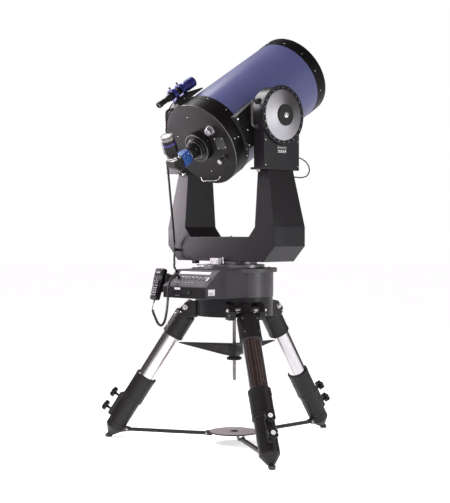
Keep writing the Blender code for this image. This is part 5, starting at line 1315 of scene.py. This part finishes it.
# ---------------------------------------------------------------------------- legs
for leg, azimuth in LEGS.items():
    along, outw, side = leg_dirs(azimuth)
    radial, tangent = leg_frame(azimuth)
    o = leg_point(azimuth, 0)
    bm = bmesh.new()
    turned(bm, o, along, [(0.0200, -0.0290), (0.0285, -0.0265, 0.003), (0.0325, -0.0180, 0.003), (0.0325, 0.0360, 0.002), (0.0560, 0.0500, 0.004), (0.0585, 0.0560, 0.002), (0.0585, 0.1760, 0.0010), (0.0600, 0.1765, 0.0008), (0.0600, 0.1895, 0.0015), (0.0502, 0.1900)], 80, ref=tangent)
    turned(bm, o - tangent * 0.0600, tangent, [(0.0125, 0.0), (0.0125, 0.1200)], 32)
    piece(f"socket_{leg}", bm, M["leg"], f"leg_{leg}", [f"leg_socket_{leg}"])
    bm = bmesh.new()
    for t in (0.074, 0.150):
        for sgn in (-1, 1):
            ax = (outw + side * (0.9 * sgn)).normalized()
            screw(bm, o + along * t + ax * 0.0583, ax, 0.0048, 0.0030, "socket", dark=1)
    piece(f"socket_screws_{leg}", bm, [M["silver"], M["gloss"]], f"leg_{leg}", ())
    bm = bmesh.new()
    turned(bm, o, along, [(0.0440, 0.1120), (0.0490, 0.1120), (0.0495, 0.1900), (0.0495, 0.6385, 0.001), (0.0470, 0.6399), (0.0440, 0.6399)], 96, ref=tangent)
    piece(f"chrome_tube_{leg}", bm, M["chrome"], f"leg_{leg}", [f"leg_tube_{leg}"])
    low = bmesh.new()
    turned(low, o, along, [(0.0504, 0.4760), (0.0504, 0.4672), (0.0560, 0.4670, 0.001), (0.0600, 0.4690, 0.0015), (0.0600, 0.4850, 0.0008), (0.0588, 0.4862, 0.0006), (0.0588, 0.6100, 0.0006), (0.0600, 0.6112, 0.0008), (0.0600, 0.6262, 0.0012), (0.0530, 0.6300, 0.001), (0.0530, 0.7755, 0.0010), (0.0514, 0.7762), (0.0514, 0.7784), (0.0534, 0.7792, 0.0010), (0.0534, 0.8160, 0.005), (0.0240, 0.8585, 0.004), (0.0172, 0.8640, 0.002), (0.0172, 0.8780, 0.004), (0.0100, 0.8800)], 96, ref=tangent)
    for f in [f for f in low.faces if len(f.verts) > 4 and (f.calc_center_median() - (o + along * 0.476)).length < 0.01]:
        low.faces.remove(f)
    foot_xy = leg_point(azimuth, 0.890)
    turned(low, (foot_xy.x, foot_xy.y, 0), Z, [(0.0140, 0.0), (0.0152, 0.0010), (0.0172, 0.0060, 0.001), (0.0168, 0.0180)], 40, mat=1)
    plate(low, [(0.628, 0.0490), (0.628, 0.0700), (0.634, 0.0740), (0.765, 0.0740), (0.775, 0.0700), (0.775, 0.0490)], lambda p, q, h: o + along * p + outw * q + side * h, (-0.017, 0.017), 0.0028, 0, 3)
    for sgn in (-1, 1):
        plate(low, [(0.6085, 0.038), (0.6545, 0.033), (0.6545, 0.069), (0.6085, 0.060)], lambda p, q, h: radial * p + Z * q + tangent * h, (sgn * 0.0117, sgn * 0.0165), 0.0012, 0)
        turned(low, radial * 0.6195 + Z * 0.049 + tangent * (sgn * 0.0160), tangent * sgn, [(0.0068, 0), (0.0068, 0.0035, 0.001), (0.0045, 0.0040)], 24, mat=2)
    for t in (0.500, 0.590):
        for sgn in (-1, 1):
            ax = (outw * 0.45 + side * sgn).normalized()
            screw(low, o + along * t + ax * 0.0586, ax, 0.0044, 0.0024, "socket", 0)
    piece(f"lower_leg_tube_{leg}", low, [M["leg"], M["rubber"], M["steel"]], f"lower_leg_{leg}", [f"leg_lower_{leg}"])
    bm = bmesh.new()
    part = bmesh.new()
    skin(part, [[radial * p + Z * q + tangent * h for p, q in [(0.1480, 0.0400), (0.1480, 0.0515), (0.1620, 0.0580), (0.6275, 0.0580), (0.6295, 0.0490), (0.6275, 0.0400)]] for h in (-0.0110, 0.0110)])
    bmesh.ops.recalc_face_normals(part, faces=part.faces)
    soften(part, 0.0022, 3)
    join(bm, part, None, 0)
    for r0 in (0.1540, 0.1750):
        turned(bm, radial * r0 + Z * 0.0570, Z, [(0.0040, 0), (0.0040, 0.0018, 0.0006), (0.0020, 0.0020)], 20, mat=0)
    piece(f"lower_bar_{leg}", bm, M["leg"], f"bar_{leg}", [f"spreader_bar_{leg}"])
    for pos, which in ((0.657, "upper"), (0.748, "lower")):
        bm = bmesh.new()
        kp = leg_point(azimuth, pos)
        lobes = lambda t, h: 1.0 + (0.135 * math.cos(6 * t) if h > 0.0993 else 0.0)
        turned(bm, kp, outw, [(0.0040, 0.0744), (0.0068, 0.0745), (0.0068, 0.0960), (0.0120, 0.0988), (0.0256, 0.1002, 0.001), (0.0262, 0.1026, 0.001), (0.0262, 0.1170, 0.0025), (0.0225, 0.1212, 0.002), (0.0150, 0.1216), (0.0145, 0.1196), (0.0080, 0.1196)], 96, ref=along, shape=lobes, mat=0)
        turned(bm, kp, outw, [(0.0128, 0.1190), (0.0128, 0.1216, 0.0008), (0.0060, 0.1219)], 36, mat=1)
        piece(f"leg_knob_{leg}_{which}", bm, [M["plastic"], M["label"]], f"clamp_{leg}_{which}", [f"clamp_knob_{leg}_{which}"])

# ----------------------------------------------------------------- tray and spreader
bm = bmesh.new()
turned(bm, (0, 0, 0), Z, [(0.0130, 0.0605), (0.1352, 0.0605, 0.001), (0.1370, 0.0622, 0.001), (0.1370, 0.0668, 0.0008), (0.1330, 0.0670)], 128, mat=1)
bm.faces.ensure_lookup_table()
for f in [f for f in bm.faces if len(f.verts) > 4]:
    bm.faces.remove(f)
vs = list(bm.verts)
turned(bm, (0, 0, 0), Z, [(0.1330, 0.0670), (0.1325, 0.0664), (0.0250, 0.0664), (0.0130, 0.0664)], 128, mat=0)
for f in [f for f in bm.faces if len(f.verts) > 4]:
    bm.faces.remove(f)
turned(bm, (0, 0, 0), Z, [(0.0130, 0.0610), (0.0130, 0.0664)], 128, mat=1)
for f in [f for f in bm.faces if len(f.verts) > 4]:
    bm.faces.remove(f)
bmesh.ops.remove_doubles(bm, verts=bm.verts, dist=0.00002)
for azimuth in LEGS.values():
    radial, tangent = leg_frame(azimuth)
    for sgn in (-1, 1):
        plate(bm, [(0.118, 0.0615), (0.118, 0.046), (0.128, 0.038), (0.158, 0.038), (0.164, 0.044), (0.164, 0.0630)], lambda p, q, h: radial * p + Z * q + tangent * h, (sgn * 0.0130, sgn * 0.0170), 0.0010, 1)
        turned(bm, radial * 0.1540 + Z * 0.0485 + tangent * (sgn * 0.0168), tangent * sgn, [(0.0062, 0), (0.0062, 0.0030, 0.001), (0.0040, 0.0034)], 20, mat=2)
piece("tray_disc", bm, [M["tray"], M["leg"], M["steel"]], "tray", ["accessory_tray"], angle=30)
bm = bmesh.new()
turned(bm, (0, 0, 0), Z, [(0.0107, 0.0608), (0.0127, 0.0610), (0.0127, 0.0666), (0.0215, 0.0668, 0.0004), (0.0215, 0.0690, 0.001), (0.0180, 0.0700, 0.001), (0.0107, 0.0700)], 64, closed=True)
piece("tray_centre", bm, M["satin"], "tray", ())
bm = bmesh.new()
turned(bm, (0, 0, 0), Z, [(0.0105, 0.4566), (0.0350, 0.4565, 0.002), (0.0395, 0.4585, 0.002), (0.0395, 0.4715, 0.002), (0.0350, 0.4734, 0.001), (0.0105, 0.4734)], 120, closed=True, shape=lambda t, h: 1.0)
for v in bm.verts:
    r = math.hypot(v.co.x, v.co.y)
    if r > 0.030:
        k = 1.0 + 0.065 * math.cos(6 * math.atan2(v.co.y, v.co.x)) * min(1.0, (r - 0.030) / 0.008)
        v.co.x *= k
        v.co.y *= k
piece("spreader_hand_knob", bm, M["plastic"], "spreader_nut", ["spreader_knob"])
bm = bmesh.new()
turned(bm, (0, 0, 0), Z, [(0.0105, 0.4740), (0.0300, 0.4740, 0.0015), (0.0300, 0.5405, 0.0015), (0.0105, 0.5405)], 64, closed=True)
for azimuth in LEGS.values():
    radial, tangent = leg_frame(azimuth)
    place = lambda p, q, h: radial * p + Z * q + tangent * h
    plate(bm, [(0.020, 0.476), (0.060, 0.482), (0.300, 0.536), (0.312, 0.5400), (0.020, 0.5400)], place, (-0.0040, 0.0040), 0.0012, 0)
    plate(bm, [(0.016, -0.024), (0.290, -0.012), (0.316, -0.004), (0.316, 0.004), (0.290, 0.012), (0.016, 0.024)], lambda p, q, h: radial * p + tangent * q + Z * h, (0.5385, 0.5455), 0.0016, 1, 3)
piece("spreader_arms", bm, [M["leg"], M["casting"]], "spreader", ["spreader_bracket"])

# ----------------------------------------------------------------------- the studio
n = Nodes("floor_white")
M["floor"] = n.done(n.mix(n.remap(n.noise(0.7, 3.0), 0.3, 0.7, 0, 1), (0.80, 0.80, 0.805), (0.83, 0.83, 0.83)), 0.8, None, 0.0, spec=0.0)
n.bsdf.inputs["Emission Color"].default_value = (1.0, 0.99, 0.995, 1)
n.bsdf.inputs["Emission Strength"].default_value = 0.60
bm = bmesh.new()
turned(bm, (0, 0, 0), Z, [(40.0, -0.02), (40.0, 0.0)], 96)
floor_mesh = bpy.data.meshes.new("floor")
bmesh.ops.recalc_face_normals(bm, faces=bm.faces)
bm.to_mesh(floor_mesh)
bm.free()
floor_mesh.materials.append(M["floor"])
floor = bpy.data.objects.new("floor", floor_mesh)
COL.objects.link(floor)
bpy.context.scene.view_settings.view_transform = "Standard"
bpy.context.scene.view_settings.look = "None"


def area(name, at, target, size, power, colour=(1, 1, 1), shape="RECTANGLE"):
    light = bpy.data.lights.new(name, "AREA")
    light.shape = shape
    light.size, light.size_y = size
    light.energy = power
    light.color = colour
    ob = bpy.data.objects.new(name, light)
    COL.objects.link(ob)
    ob.location = Vector(at) + SHIFT
    ob.rotation_euler = (Vector(target) - Vector(at)).to_track_quat("-Z", "Y").to_euler()
    ob.visible_camera = False
    return ob


area("key_left", (-1.20, -0.66, 1.44), (-0.36, -0.16, 1.36), (0.3, 0.8), 17, (1.0, 0.92, 1.0))
area("top_soft", (-2.0, -0.2, 4.0), (0.1, 0, 1.5), (1.6, 1.6), 84)
area("front_fill", (3.6, -5.4, 2.6), (0, 0, 1.0), (2.0, 2.0), 34, (1.0, 0.93, 0.97))
area("front_top", (1.9, -2.1, 3.3), (0.3, -0.3, 0.5), (1.8, 1.8), 55, (1.0, 0.94, 0.98)).visible_glossy = False
area("upper_left", (-1.1, -1.3, 2.9), (0.15, -0.1, 1.9), (0.8, 0.8), 32, (1.0, 0.95, 1.0))
area("right_back", (3.2, 1.6, 1.6), (0.2, 0.0, 1.1), (0.8, 2.4), 34)

world = bpy.data.worlds.new("studio")
bpy.context.scene.world = world
world.use_nodes = True
nt = world.node_tree
bg = nt.nodes["Background"]
geo = nt.nodes.new("ShaderNodeTexCoord").outputs["Generated"]
sep = nt.nodes.new("ShaderNodeSeparateXYZ")
nt.links.new(geo, sep.inputs[0])
ang = nt.nodes.new("ShaderNodeMath")
ang.operation = "ARCTAN2"
nt.links.new(sep.outputs["Y"], ang.inputs[0])
nt.links.new(sep.outputs["X"], ang.inputs[1])
part_ = nt.nodes.new("ShaderNodeMapRange")
nt.links.new(ang.outputs[0], part_.inputs["Value"])
part_.inputs["From Min"].default_value = -math.pi
part_.inputs["From Max"].default_value = math.pi
ramp = nt.nodes.new("ShaderNodeValToRGB")
nt.links.new(part_.outputs["Result"], ramp.inputs[0])
stops = [(0.00, 0.16), (0.05, 0.08), (0.105, 0.08), (0.13, 0.30), (0.16, 0.12), (0.20, 0.12), (0.225, 0.55), (0.25, 0.20), (0.29, 0.08), (0.34, 0.12), (0.365, 0.75), (0.42, 0.85), (0.51, 0.85), (0.545, 0.15), (0.59, 0.30), (0.65, 0.34), (0.69, 0.10), (0.78, 0.08), (0.835, 0.08), (0.86, 0.42), (0.89, 0.42), (0.915, 0.10), (0.97, 0.10), (1.0, 0.16)]
els = ramp.color_ramp.elements
els[0].position, els[0].color = stops[0][0], (stops[0][1],) * 3 + (1,)
els[1].position, els[1].color = stops[-1][0], (stops[-1][1],) * 3 + (1,)
for pos, val in stops[1:-1]:
    e = els.new(pos)
    e.color = (val, val * 0.955, val * 0.975, 1)
path = nt.nodes.new("ShaderNodeLightPath")
mix = nt.nodes.new("ShaderNodeMix")
mix.data_type = "RGBA"
nt.links.new(path.outputs["Is Glossy Ray"], mix.inputs["Factor"])
seen = nt.nodes.new("ShaderNodeMix")
seen.data_type = "RGBA"
nt.links.new(path.outputs["Is Camera Ray"], seen.inputs["Factor"])
seen.inputs[6].default_value = (0.50, 0.475, 0.505, 1)
seen.inputs[7].default_value = (1.0, 1.0, 1.0, 1)
nt.links.new(seen.outputs[2], mix.inputs[6])
nt.links.new(ramp.outputs[0], mix.inputs[7])
nt.links.new(mix.outputs[2], bg.inputs["Color"])
bg.inputs["Strength"].default_value = 1.0
high = nt.nodes.new("ShaderNodeMapRange")
high.interpolation_type = "SMOOTHSTEP"
nt.links.new(sep.outputs["Z"], high.inputs["Value"])
high.inputs["From Min"].default_value = 0.16
high.inputs["From Max"].default_value = 0.40
roof = nt.nodes.new("ShaderNodeMix")
roof.data_type = "RGBA"
nt.links.new(high.outputs["Result"], roof.inputs["Factor"])
nt.links.new(ramp.outputs[0], roof.inputs[6])
streak = nt.nodes.new("ShaderNodeTexNoise")
streak.noise_dimensions = "1D"
nt.links.new(ang.outputs[0], streak.inputs["W"])
streak.inputs["Scale"].default_value = 5.0
streak.inputs["Detail"].default_value = 2.0
line = nt.nodes.new("ShaderNodeMapRange")
nt.links.new(streak.outputs["Fac"], line.inputs["Value"])
line.inputs["From Min"].default_value = 0.52
line.inputs["From Max"].default_value = 0.66
brown = nt.nodes.new("ShaderNodeMix")
brown.data_type = "RGBA"
nt.links.new(line.outputs["Result"], brown.inputs["Factor"])
brown.inputs[6].default_value = (0.040, 0.024, 0.020, 1)
brown.inputs[7].default_value = (0.24, 0.18, 0.17, 1)
nt.links.new(brown.outputs[2], roof.inputs[7])
nt.links.new(roof.outputs[2], mix.inputs[7])
